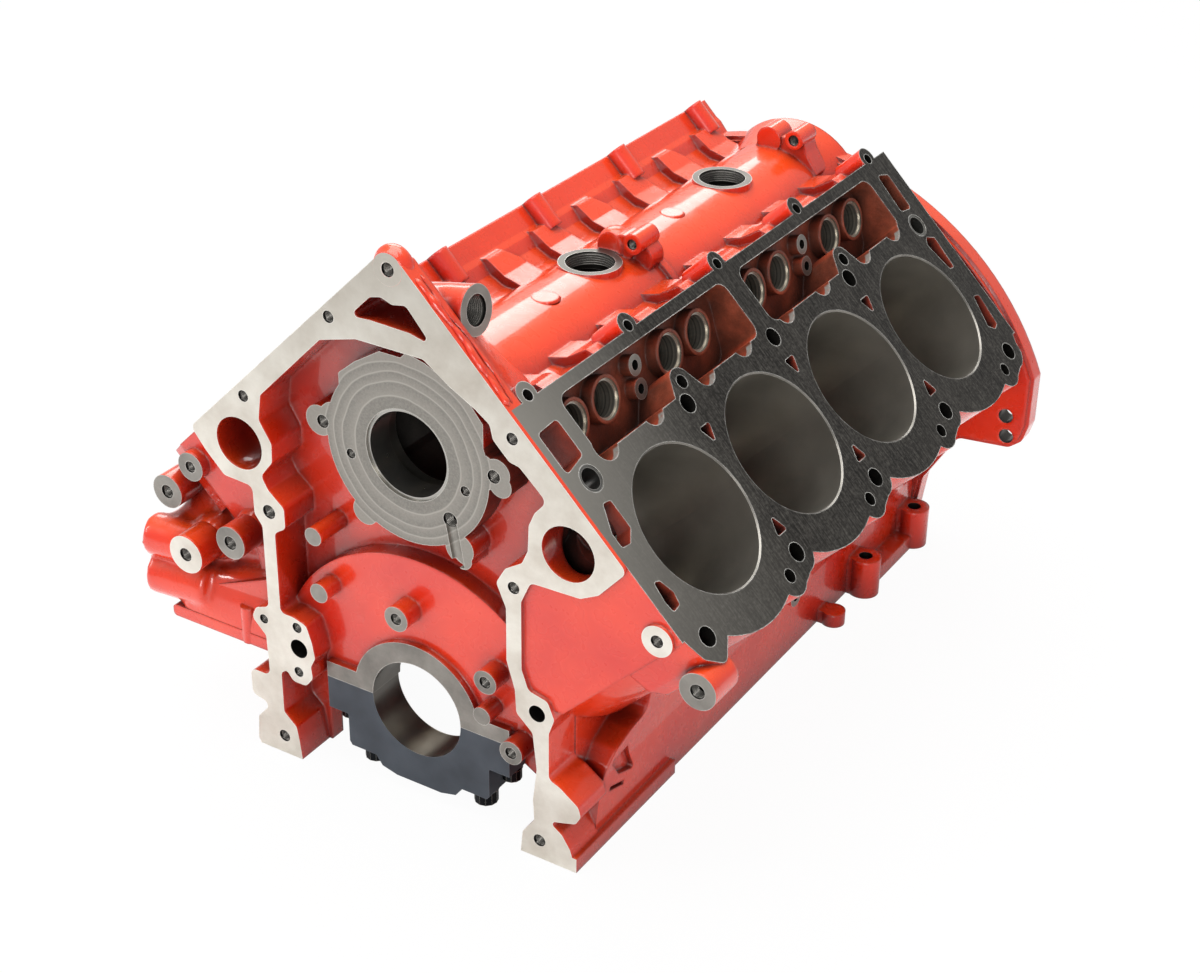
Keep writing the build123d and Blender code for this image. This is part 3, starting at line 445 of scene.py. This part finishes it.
# %% [markdown]
# ## Finishes of the loose parts
#
# The bearing caps are phosphated, which leaves a blue-grey matt skin, and their bolts are blackened. The cam
# bearings are lined with a soft tin alloy. Core plugs are zinc plated, and dowels are ground.

# %% Make the finishes of the loose parts
cap_iron = bored_iron("phosphated_iron_cap", "#3E434A", "#50565E", 0.46, "#6A6F76", metal=0.6)
black_bolt = bored_iron("black_oxide_steel_bolt", "#131416", "#202225", 0.36)
bearing_alloy = bored_iron("tin_alloy_bearing", "#8E8C87", "#B2B0AA", 0.28)
plug_steel = bored_iron("zinc_plated_plug", "#A39A80", "#BDB59C", 0.34)
ground_steel = bored_iron("ground_steel_dowel", "#6A6967", "#85847F", 0.3)
print("made five finishes for the loose parts")

# %% [markdown]
# ## Which face gets which finish
#
# The casting is one mesh, so its finishes are given face by face. The CAD surface of a drilled hole is a set
# of triangles that share corners and whose normals all point at one line. Each connected patch is therefore
# tested: if its corners lie on a circle around a line, its radius says which tool made it. Flat machined
# faces are found by the plane they lie in.

# %% Read the block's triangles
block = nodes["cylinder_block"]
mesh = block.data
points = np.empty(len(mesh.vertices) * 3)
mesh.vertices.foreach_get("co", points)
points = points.reshape(-1, 3) / MM
corner = np.empty(len(mesh.polygons) * 3, dtype=int)
mesh.polygons.foreach_get("vertices", corner)
corner = corner.reshape(-1, 3)
normal = np.cross(points[corner[:, 1]] - points[corner[:, 0]], points[corner[:, 2]] - points[corner[:, 0]])
area = np.linalg.norm(normal, axis=1) / 2
normal /= np.maximum(np.linalg.norm(normal, axis=1), 1e-12)[:, None]
print("triangles:", len(corner))

# %% [markdown]
# A patch is grown by letting every corner take the lowest number among the corners of its triangles, over and
# over, until nothing changes. Triangles with the same number then belong to one CAD surface.

# %% Grow the patches
label = np.arange(len(points))
while True:
    lowest = label[corner].min(axis=1)
    grown = label.copy()
    for k in range(3):
        np.minimum.at(grown, corner[:, k], lowest)
    grown = grown[grown]
    if (grown == label).all():
        break
    label = grown
order = np.argsort(label[corner[:, 0]], kind="stable")
starts = np.flatnonzero(np.diff(label[corner[order, 0]])) + 1
patches = np.split(order, starts)
print("patches:", len(patches))

# %% [markdown]
# For a round patch, the line that is square to all of its normals is the axis of the tool. The circle through
# the corners, seen along that line, comes from a least squares fit.

# %% Measure a patch
LINE_SLACK, PLANE_SLACK = 1e-4, 1e-3
ROUND_SLACK = 0.2
SECTORS = 24


def round_patch(faces):
    # axis, centre, radius, share of the circle and reach along the axis,
    # or None if it isn't the inside of a hole
    weighted = normal[faces] * area[faces, None]
    values, vectors = np.linalg.eigh(weighted.T @ normal[faces])
    if values[0] > LINE_SLACK * values.sum() or values[1] < PLANE_SLACK * values.sum():
        return None
    across = vectors[:, 1:]
    flat = points[corner[faces].ravel()] @ across
    system = np.column_stack((2 * flat, np.ones(len(flat))))
    fit, *_ = np.linalg.lstsq(system, (flat ** 2).sum(axis=1), rcond=None)
    centre = fit[:2]
    radius = math.sqrt(max(fit[2] + centre @ centre, 0))
    away = flat - centre
    if abs(np.linalg.norm(away, axis=1) - radius).max() > ROUND_SLACK:
        return None
    middles = points[corner[faces]].mean(axis=1) @ across - centre
    if ((normal[faces] @ across) * middles).sum() > 0:
        return None
    reached = np.unique(np.floor(np.degrees(np.arctan2(away[:, 1], away[:, 0])) / (360 / SECTORS)))
    along = points[corner[faces].ravel()] @ vectors[:, 0]
    return vectors[:, 0], across @ centre, radius, len(reached) / SECTORS, along.min(), along.max()


measured = [round_patch(faces) for faces in patches]
holes = [found for found in measured if found and found[3] > 0.6]
print("round patches:", sum(found is not None for found in measured), "holes:", len(holes))

# %% [markdown]
# Rules that name a plane or a radius use the engine's own sizes: 234.95 mm from the crankshaft to a deck, a
# 99.5 mm bore, 17.8 degrees of tilt on a lifter. The first rules are for flat patches.

# %% Find the machined planes
BORE_R = 49.75
FRONT, CAM_THRUST, REAR, PAN_RAIL = -12.0, -0.4, 512.0, -68.8
LIFTER_MOUTH = 97.0 + CAM_HEIGHT * math.sin(LIFTER_TILT)
BOSS_PLANES = (-10.0, -9.0, 0.0, 7.0, 8.0)
VALLEY_TOP = CAM_HEIGHT + 51.6
DECK_END = -118.0
ALIGNED, FLAT = 0.999, 0.9999
PLACE_SLACK = 0.05
HOLE_END_AREA, BOSS_AREA, RAISED_FACE_AREA = 90.0, 900.0, 3500.0


def is_plane(faces, direction, offset, slack=PLACE_SLACK):
    n, spot = normal[faces[0]], points[corner[faces[0], 0]]
    return n @ np.array(direction) > ALIGNED and abs(spot @ np.array(direction) - offset) < slack


def flat_finish(faces):
    n = normal[faces[0]]
    if (normal[faces] @ n).min() < FLAT:
        return None
    size = area[faces].sum()
    x, y, z = points[corner[faces].ravel()].mean(axis=0)
    for side in (-1, 1):
        if is_plane(faces, (side * DIAGONAL, 0, DIAGONAL), DECK_HEIGHT):
            return deck_face if DIAGONAL * (abs(x) - z) > DECK_END else enamel
        tilted = (side * math.cos(LIFTER_TILT), 0, math.sin(LIFTER_TILT))
        if is_plane(faces, tilted, LIFTER_MOUTH):
            return primer
        if is_plane(faces, tilted, LIFTER_MOUTH - 1):
            return boss_face
        if is_plane(faces, tilted, LIFTER_MOUTH - 2, 0.3):
            return reamed_bore
    if is_plane(faces, (0, -1, 0), -FRONT) or is_plane(faces, (0, 1, 0), REAR):
        return front_face
    if is_plane(faces, (0, 0, -1), -PAN_RAIL):
        return front_face
    if is_plane(faces, (0, -1, 0), -CAM_THRUST):
        return cam_face
    if n[2] > ALIGNED and abs(z - VALLEY_TOP) < 0.2:
        return valley_spot_face_shaded
    on_boss_plane = n[1] < -ALIGNED and any(abs(y - plane) < PLACE_SLACK for plane in BOSS_PLANES)
    if on_boss_plane and size < RAISED_FACE_AREA:
        return drilled_hole if size < HOLE_END_AREA else boss_face
    side_boss = n[0] > ALIGNED and abs(z - 6) < 12 and x > 147
    sender_boss = n[0] > 0.98 and 280 < z < 300 and x > 30
    return boss_face if size < BOSS_AREA and (side_boss or sender_boss) else None


print("deck patches:", sum(flat_finish(faces) is deck_face for faces in patches))

# %% [markdown]
# A hole's finish follows from its radius. What is left is cast skin, and its place says whether the spray
# reached it. Heights over the crankshaft square to a deck, and the way across the deck, are in the bank's own
# directions, half a right angle from the upright.

# %% Find the holes and the cast recesses
BANK_STAGGER, BANK_LENGTH = 24.0, 482.0
CRANKCASE_FROM, CRANKCASE_TO = 19.5, 508.0
CRANKCASE_HALF, CRANKCASE_TOP = 118.0, 140.0
NECK_HALF, NECK_TOP = 60.0, 154.0


def round_finish(found):
    if not found:
        return None
    axis, _, radius, share = found[:4]
    if abs(radius - BORE_R) < 0.2:
        return honed_bore
    if share > 0.35 and (30 < radius < 36 or 51 < radius < 53):
        return bored_housing
    if share > 0.6 and radius < 9.6:
        return drilled_hole
    if share > 0.6 and radius < 18 and abs(axis[1]) < 0.5:
        return tapped_hole if abs(axis[2]) > 0.99 or abs(axis[2]) < 0.2 else reamed_bore
    return None


def cast_finish(faces):
    spots = points[corner[faces].ravel()]
    x, y, z = spots.mean(axis=0)
    first, last = spots[:, 1].min(), spots[:, 1].max()
    half_width, top = abs(spots[:, 0]).max(), spots[:, 2].max()
    across, height = DIAGONAL * (abs(x) - z), DIAGONAL * (abs(x) + z)
    heights = DIAGONAL * (abs(spots[:, 0]) + spots[:, 2])
    stagger = 0 if x > 0 else BANK_STAGGER
    on_chamfer = (heights.min() > DECK_HEIGHT - 1.5 and heights.max() < DECK_HEIGHT + PLACE_SLACK
                  and np.ptp(heights) > 0.3 and first > 0)
    in_oil_groove = CAM_THRUST < y < 10 and last < 12 and 22 < x < 50 and -72 < z - CAM_HEIGHT < -38
    in_lifter_pocket = -111 < across < -52 and 160 < height < DECK_HEIGHT - 0.5 and 25 < y < 480
    in_water_jacket = (-108 < across < 48 and 150 < height < DECK_HEIGHT - 0.3
                       and first > stagger - 5 and last < stagger + BANK_LENGTH)
    in_cam_tunnel = first > 8 and math.hypot(x, z - CAM_HEIGHT) < 46 and top < 240
    behind_front = first > CRANKCASE_FROM and last < CRANKCASE_TO
    in_crankcase = behind_front and half_width < CRANKCASE_HALF and top < CRANKCASE_TOP
    in_neck = behind_front and half_width < NECK_HALF and top < NECK_TOP
    if on_chamfer:
        return bore_chamfer
    if in_oil_groove:
        return cam_face
    if in_lifter_pocket:
        return primer
    if in_water_jacket:
        return rusty_core
    if in_cam_tunnel or in_crankcase or in_neck:
        return raw_iron_and_shade
    return enamel


print("hole radii:", sorted({round(found[2], 1) for found in holes}))

# %% [markdown]
# The finishes take the block's material slots, in a fixed order, and each triangle is told the number of its
# slot. The mesh itself stays as it is.

# %% Give each patch its finish
finishes = [enamel, front_face, deck_face, boss_face, honed_bore, reamed_bore, bored_housing, drilled_hole,
            cam_face, primer, rusty_core, raw_iron_and_shade, valley_spot_face_shaded, bore_chamfer, tapped_hole]
slot_of = np.zeros(len(corner), dtype=np.int32)
for faces, found in zip(patches, measured):
    finish = flat_finish(faces) or round_finish(found) or cast_finish(faces)
    slot_of[faces] = finishes.index(finish)
mesh.materials.clear()
for finish in finishes:
    mesh.materials.append(finish)
mesh.polygons.foreach_set("material_index", slot_of)
print({finish.name: int((slot_of == k).sum()) for k, finish in enumerate(finishes)})

# %% [markdown]
# The loose parts are small and each has one finish. Only the caps have two: each cap is bored in place
# together with the block, so its half of the bearing housing is bare metal.

# %% Finish the loose parts
HOUSING_R = 35.2
loose = {"main_cap": cap_iron, "inner_cap_bolts": black_bolt, "outer_cap_bolts": black_bolt,
         "cam_bearing": bearing_alloy, "core_plugs": plug_steel, "cam_rear_plug": plug_steel,
         "head_dowels": ground_steel, "bell_dowels": ground_steel}
for name, piece in nodes.items():
    for start, material in loose.items():
        if name.startswith(start):
            piece.data.materials.clear()
            piece.data.materials.append(material)
    if name.startswith("main_cap"):
        piece.data.materials.append(bored_housing)
        for face in piece.data.polygons:
            around = [math.hypot(piece.data.vertices[v].co.x, piece.data.vertices[v].co.z) / MM
                      for v in face.vertices]
            if abs(face.normal.y) < 0.1 and all(abs(r - HOUSING_R) < 0.1 for r in around):
                face.material_index = 1
print("loose parts finished:", len(nodes) - 1)

# %% [markdown]
# ## Details too fine for the CAD model
#
# Tapped holes show their threads, and a few low cast marks and runs of paint sit on the skin. Each is a small
# piece of its own. A thread is one V-shaped tooth that is spun down the hole: every step turns it a little
# and moves it along the axis, so it grows into a real helix.

# %% Helpers for new pieces
SAME_PLACE = 1e-6


def add_piece(name, shape, material, smooth=True, second=None):
    data = bpy.data.meshes.new(name)
    for face in shape.faces:
        face.smooth = smooth
    shape.to_mesh(data)
    shape.free()
    data.materials.append(material)
    if second:
        data.materials.append(second)
    piece = bpy.data.objects.new(name, data)
    bpy.context.scene.collection.objects.link(piece)
    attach(piece, "root")
    print(name, "faces:", len(data.polygons))
    return piece


def cut_thread(shape, mouth, outwards, radius, depth, pitch, steps):
    # all lengths in millimetres; the mouth is the centre of the hole's opening
    axis = Vector(outwards).normalized()
    side = axis.orthogonal().normalized()
    start = Vector(mouth) - axis * 0.8
    crest = radius - 0.5 * pitch
    tooth = ((radius, 0.0), (crest, -0.45 * pitch), (crest, -0.55 * pitch), (radius, -pitch))
    verts = [shape.verts.new((start + side * r + axis * h) * MM) for r, h in tooth]
    edges = [shape.edges.new(pair) for pair in zip(verts, verts[1:])]
    turns = int(depth / pitch)
    bmesh.ops.spin(shape, geom=verts + edges, cent=start * MM, axis=axis, dvec=-axis * pitch * MM / steps,
                   angle=math.tau * turns, steps=steps * turns)


def holes_towards(direction, small, large):
    # mouth, radius and length of every measured hole whose axis runs along the direction
    direction = np.array(direction, dtype=float)
    for axis, centre, radius, _, low, high in holes:
        facing = axis @ direction
        if small < radius < large and abs(facing) > ALIGNED:
            end = high if facing > 0 else low
            yield centre + axis * end, radius, high - low


print("holes in the front:", len(list(holes_towards((0, -1, 0), 3.2, 5.4))))

# %% [markdown]
# The threads of the two large valley holes are fine, those of the screw holes in the front are coarser for
# their size. Only the first turns of each can be seen, so only those are wound.

# %% Wind the threads
SENDER_TILT = math.radians(9)
SENDER_AXIS = (math.cos(SENDER_TILT), 0, math.sin(SENDER_TILT))
# name, direction, smallest and largest radius, depth, pitch and steps in a turn
THREADS = (
    ("valley_threads", (0, 0, 1), 16.5, 17.5, 9.0, 1.7, 56),
    ("sender_threads", SENDER_AXIS, 9.5, 10.2, 13.0, 1.5, 44),
    ("front_threads", (0, -1, 0), 3.2, 5.4, 8.0, 1.2, 24))
for name, towards, small, large, depth, pitch, steps in THREADS:
    shape = bmesh.new()
    for mouth, radius, length in holes_towards(towards, small, large):
        if length > depth:
            cut_thread(shape, mouth, towards, radius, depth, pitch, steps)
    bmesh.ops.remove_doubles(shape, verts=shape.verts, dist=SAME_PLACE)
    bmesh.ops.recalc_face_normals(shape, faces=shape.faces)
    add_piece(name, shape, tapped_hole, smooth=False)

# %% [markdown]
# The screw hole at the apex of the front rim sits in a round lug. Its end is milled with the rim, and behind
# that it is cast, wider and painted. It is a profile, drawn as radius and depth behind the front face, and
# spun once round the hole.

# %% Spin the apex lug
APEX_HOLE = Vector((-0.3, 0.0, 317.8))
LUG_PROFILE = ((4.7, 12.0), (4.7, -0.06), (10.4, -0.06), (10.9, 0.4), (11.3, 2.2), (12.4, 3.2), (13.3, 4.8),
               (13.6, 7.0), (13.0, 9.4), (11.2, 11.6), (8.6, 12.8))
shape = bmesh.new()
verts = [shape.verts.new((APEX_HOLE + Vector((r, FRONT + deep, 0))) * MM) for r, deep in LUG_PROFILE]
edges = [shape.edges.new(pair) for pair in zip(verts, verts[1:] + verts[:1])]
bmesh.ops.spin(shape, geom=verts + edges, cent=APEX_HOLE * MM, axis=(0, 1, 0), angle=math.tau, steps=56,
               use_merge=True)
bmesh.ops.remove_doubles(shape, verts=shape.verts, dist=SAME_PLACE)
bmesh.ops.recalc_face_normals(shape, faces=shape.faces)
for face in shape.faces:
    if face.normal.y < -0.9 and face.calc_center_median().y < (FRONT + 0.2) * MM:
        face.material_index = 1
lug = add_piece("apex_lug", shape, enamel, second=front_face)
for face in lug.data.polygons:
    face.use_smooth = face.material_index == 0

# %% [markdown]
# Paint has run along the edge of the slope below the lug and dried as an uneven bead, with a thinner run
# beside it. A ring of points is pushed along the edge in short steps, and every ring is then moved and
# swollen by a few waves that don't repeat.

# %% Push the paint beads along the edge
STEPS = 180
EDGE_FROM, EDGE_TO = -211.0, -120.0


def paint_bead(shape, depth, thick, sway):
    def on_edge(across):
        return Vector(((DECK_HEIGHT + across) * DIAGONAL, depth, (DECK_HEIGHT - across) * DIAGONAL))

    start, end = on_edge(EDGE_FROM), on_edge(EDGE_TO)
    way = (end - start).normalized()
    turn = way.to_track_quat("Z", "Y").to_matrix().to_4x4()
    ring = bmesh.ops.create_circle(shape, segments=12, radius=thick * MM,
                                   matrix=Matrix.Translation(start * MM) @ turn)["verts"]
    rim = list({edge for vert in ring for edge in vert.link_edges})
    bmesh.ops.spin(shape, geom=ring + rim, cent=start * MM, axis=way, angle=0.0,
                   dvec=(end - start) * MM / STEPS, steps=STEPS)
    for vert in shape.verts:
        along = (vert.co / MM - start) @ way
        middle = start + way * along
        away = vert.co / MM - middle
        if away.length > thick * 1.01:
            continue
        swell = 1.0 + 0.24 * math.sin(0.17 * along + depth)
        swell += 0.2 * math.sin(0.43 * along) * math.sin(0.11 * along)
        swell *= min(1.0, 0.25 + 0.3 * min(along, (end - start).length - along))
        drift = sway * (math.sin(0.08 * along + depth) + 0.4 * math.sin(0.19 * along))
        vert.co = (middle + away * swell + Vector((0, drift, 0))) * MM


# name, place along the crankshaft, radius and sway
BEADS = (("paint_bead_wide", -7.8, 2.2, 0.8), ("paint_bead_thin", -3.0, 1.2, 1.3))
for name, depth, thick, sway in BEADS:
    shape = bmesh.new()
    paint_bead(shape, depth, thick, sway)
    bmesh.ops.remove_doubles(shape, verts=shape.verts, dist=SAME_PLACE)
    bmesh.ops.holes_fill(shape, edges=shape.edges, sides=12)
    bmesh.ops.recalc_face_normals(shape, faces=shape.faces)
    add_piece(name, shape, enamel)

# %% [markdown]
# Two low round pads on the dome are the marks of the pattern's pins. They are flat discs with a sloping edge.

# %% Set the cast pads
DOME_R, PAD_HEIGHT, PAD_SLOPE, PAD_SUNK = 51.0, 1.6, 1.6, 0.3
PADS = ((4.5, 147.0, 10.5), (2.0, 314.5, 9.5))
shape = bmesh.new()
for x, y, radius in PADS:
    pad = bmesh.ops.create_cone(shape, cap_ends=True, segments=48, radius1=radius * MM,
                                radius2=(radius - PAD_SLOPE) * MM, depth=PAD_HEIGHT * MM)["verts"]
    top = CAM_HEIGHT + math.sqrt(DOME_R ** 2 - x ** 2) - PAD_SUNK
    bmesh.ops.translate(shape, verts=pad, vec=Vector((x, y, top)) * MM)
add_piece("cast_pads", shape, enamel, smooth=False)

# %% [markdown]
# ## The oil housing low on the side
#
# Low on the left of the photograph the casting swells into a housing for oil passages: two short drums that
# point outwards, a belly between them and the front rim, and flared feet under the screw bosses. A pattern
# maker carves such a form in one flow, without edges. Balls are wrapped in a skin, two or more at a time,
# then all the skins are fused by a voxel remesh and smoothed, so that they melt together as the cast form
# does. Each ball is given by its place and its radius in millimetres.

# %% Model the housing's skin
VOXEL_MM = 2.0
DRUMS = (((-227, 7, 58), (-186, 12, 58), 15.4), ((-227.5, 9, 27), (-180, 14, 27), 16.2))
SKINS = {
    "upper drum": ((-208, 14, 58, 16.6), (-208, 50, 58, 16.6)),
    "lower drum": ((-209, 15, 26, 18.4), (-209, 52, 26, 18.4)),
    "belly": ((-203, 20, 22, 14.0), (-190, 20, 18, 15.0), (-190, 26, 26, 12.0), (-118, 20, 16, 15.0),
              (-118, 24, 44, 14.0), (-150, 24, 32, 16.0)),
    "belly down to the ledge": ((-196, 9, 9, 8.0), (-118, 9, 9, 8.0), (-194, 18, 22, 13.0),
                                (-118, 18, 24, 15.0)),
    "wall under the upper bosses": ((-206, 26, 62, 14.0), (-196, 42, 84, 14.0), (-188, 50, 98, 12.0),
                                    (-164, 52, 98, 14.0), (-168, 36, 66, 15.0)),
    "roof": ((-196, 50, 66, 15.0), (-168, 48, 74, 17.0), (-150, 50, 84, 14.0), (-186, 50, 86, 12.0)),
    "foot of the long boss": ((-180, 17, 65, 15.6), (-180, 38, 63, 22.0)),
    "foot of the short boss": ((-141, 17, 86, 14.6), (-141, 40, 82, 21.0)),
    "back": ((-205, 50, 58, 18.0), (-205, 50, 28, 18.0), (-190, 52, 96, 14.0), (-166, 54, 96, 16.0),
             (-136, 42, 80, 19.0), (-128, 36, 24, 16.0))}


def wrap_balls(shape, balls):
    verts = []
    for x, y, z, radius in balls:
        verts += bmesh.ops.create_uvsphere(shape, u_segments=24, v_segments=12, radius=radius * MM,
                                           matrix=Matrix.Translation(Vector((x, y, z)) * MM))["verts"]
    result = bmesh.ops.convex_hull(shape, input=verts)
    inside = [item for item in result["geom_interior"] if isinstance(item, bmesh.types.BMVert)]
    bmesh.ops.delete(shape, geom=inside, context="VERTS")


def drum(shape, start, end, radius):
    way = Vector(end) - Vector(start)
    middle = Matrix.Translation((Vector(start) + Vector(end)) / 2 * MM)
    place = middle @ way.to_track_quat("Z", "Y").to_matrix().to_4x4()
    bmesh.ops.create_cone(shape, cap_ends=True, segments=40, radius1=radius * MM, radius2=radius * MM,
                          depth=way.length * MM, matrix=place)


shape = bmesh.new()
for start, end, radius in DRUMS:
    drum(shape, start, end, radius)
for balls in SKINS.values():
    wrap_balls(shape, balls)
housing = add_piece("oil_housing_skin", shape, enamel)
fuse = housing.modifiers.new("fuse", "REMESH")
fuse.mode = "VOXEL"
fuse.voxel_size = VOXEL_MM * MM
fuse.use_smooth_shade = True
melt = housing.modifiers.new("melt", "SMOOTH")
melt.factor = 0.5
melt.iterations = 14

# %% [markdown]
# ## Floor and light
#
# The block stands on a white table that fades into a white room. The table mixes a real shaded white with
# plain white, so it stays white to the camera but keeps a faint shadow. Gloss and metal mirror mostly the
# shaded white.

# %% Make the floor
TABLE_SIZE, TABLE_GAP = 12, 0.4
TO_CAMERA, TO_GLOSS = 0.96, 0.2
floor_mesh = bpy.data.meshes.new("floor")
sheet = bmesh.new()
bmesh.ops.create_grid(sheet, x_segments=1, y_segments=1, size=TABLE_SIZE)
bmesh.ops.translate(sheet, verts=sheet.verts, vec=(0, 0, (PAN_RAIL - TABLE_GAP) * MM))
sheet.to_mesh(floor_mesh)
sheet.free()
floor = bpy.data.objects.new("floor", floor_mesh)
bpy.context.scene.collection.objects.link(floor)
table, tree, shader, _ = new_material("white_table")
tree.nodes.remove(shader)
rays = add_node(tree, "ShaderNodeLightPath", {})
matte = add_node(tree, "ShaderNodeBsdfDiffuse", {"Color": "#F4F4F4"})["BSDF"]
glow = add_node(tree, "ShaderNodeEmission", {"Color": "#FFFFFF", "Strength": 1.0})["Emission"]
direct = add_node(tree, "ShaderNodeMath", {0: rays["Is Camera Ray"], 1: TO_CAMERA},
                  operation="MULTIPLY")["Value"]
mirrored = add_node(tree, "ShaderNodeMath", {0: rays["Is Glossy Ray"], 1: TO_GLOSS},
                    operation="MULTIPLY")["Value"]
share = add_node(tree, "ShaderNodeMath", {0: direct, 1: mirrored}, operation="MAXIMUM")["Value"]
mixed = add_node(tree, "ShaderNodeMixShader", {"Fac": share, 1: matte, 2: glow})["Shader"]
connect(tree, tree.nodes["Material Output"], {"Surface": mixed})
floor_mesh.materials.append(table)
print("table at", round(PAN_RAIL - TABLE_GAP, 2), "mm")

# %% [markdown]
# The room is plain white to the camera and gives a little light from all sides. Mirrored in gloss or metal it
# is darker, which keeps the reflections of the lamps clear. Large soft lamps above and behind shape the
# casting, a smaller one in front draws the bright lines on the bosses, and a narrow strip at the left gives
# the enamel its glints.

# %% Light the room
ROOM_LIGHT, ROOM_MIRRORED = 0.27, 0.55
LAMPS_AIM = Vector((0, 0.24, 0.1))
world = bpy.data.worlds.new("white_room")
bpy.context.scene.world = world
world.use_nodes = True
tree = world.node_tree
rays = add_node(tree, "ShaderNodeLightPath", {})
mirrored = add_node(tree, "ShaderNodeMapRange", {
    "Value": rays["Is Glossy Ray"], "To Min": ROOM_LIGHT, "To Max": ROOM_MIRRORED})["Result"]
level = add_node(tree, "ShaderNodeMath", {0: mirrored, 1: rays["Is Camera Ray"]},
                 operation="MAXIMUM")["Value"]
connect(tree, tree.nodes["Background"], {"Strength": level, "Color": "#FFFFFF"})


def softbox(name, place, width, height, power):
    light = bpy.data.lights.new(name, "AREA")
    light.shape = "RECTANGLE"
    light.size, light.size_y, light.energy = width, height, power
    lamp = bpy.data.objects.new(name, light)
    direction = LAMPS_AIM - Vector(place)
    lamp.matrix_world = Matrix.Translation(place) @ direction.to_track_quat("-Z", "Y").to_matrix().to_4x4()
    bpy.context.scene.collection.objects.link(lamp)


softbox("softbox_behind", (-1.4, 2.1, 1.9), 1.8, 1.6, 36)
softbox("softbox_above", (-0.3, 0.1, 2.4), 2.2, 2.2, 58)
softbox("softbox_front", (1.3, -2.2, 1.0), 1.0, 1.0, 31)
softbox("strip_left", (-1.9, -1.3, 1.2), 0.2, 1.3, 12)
print("lamps:", len(bpy.data.lights))
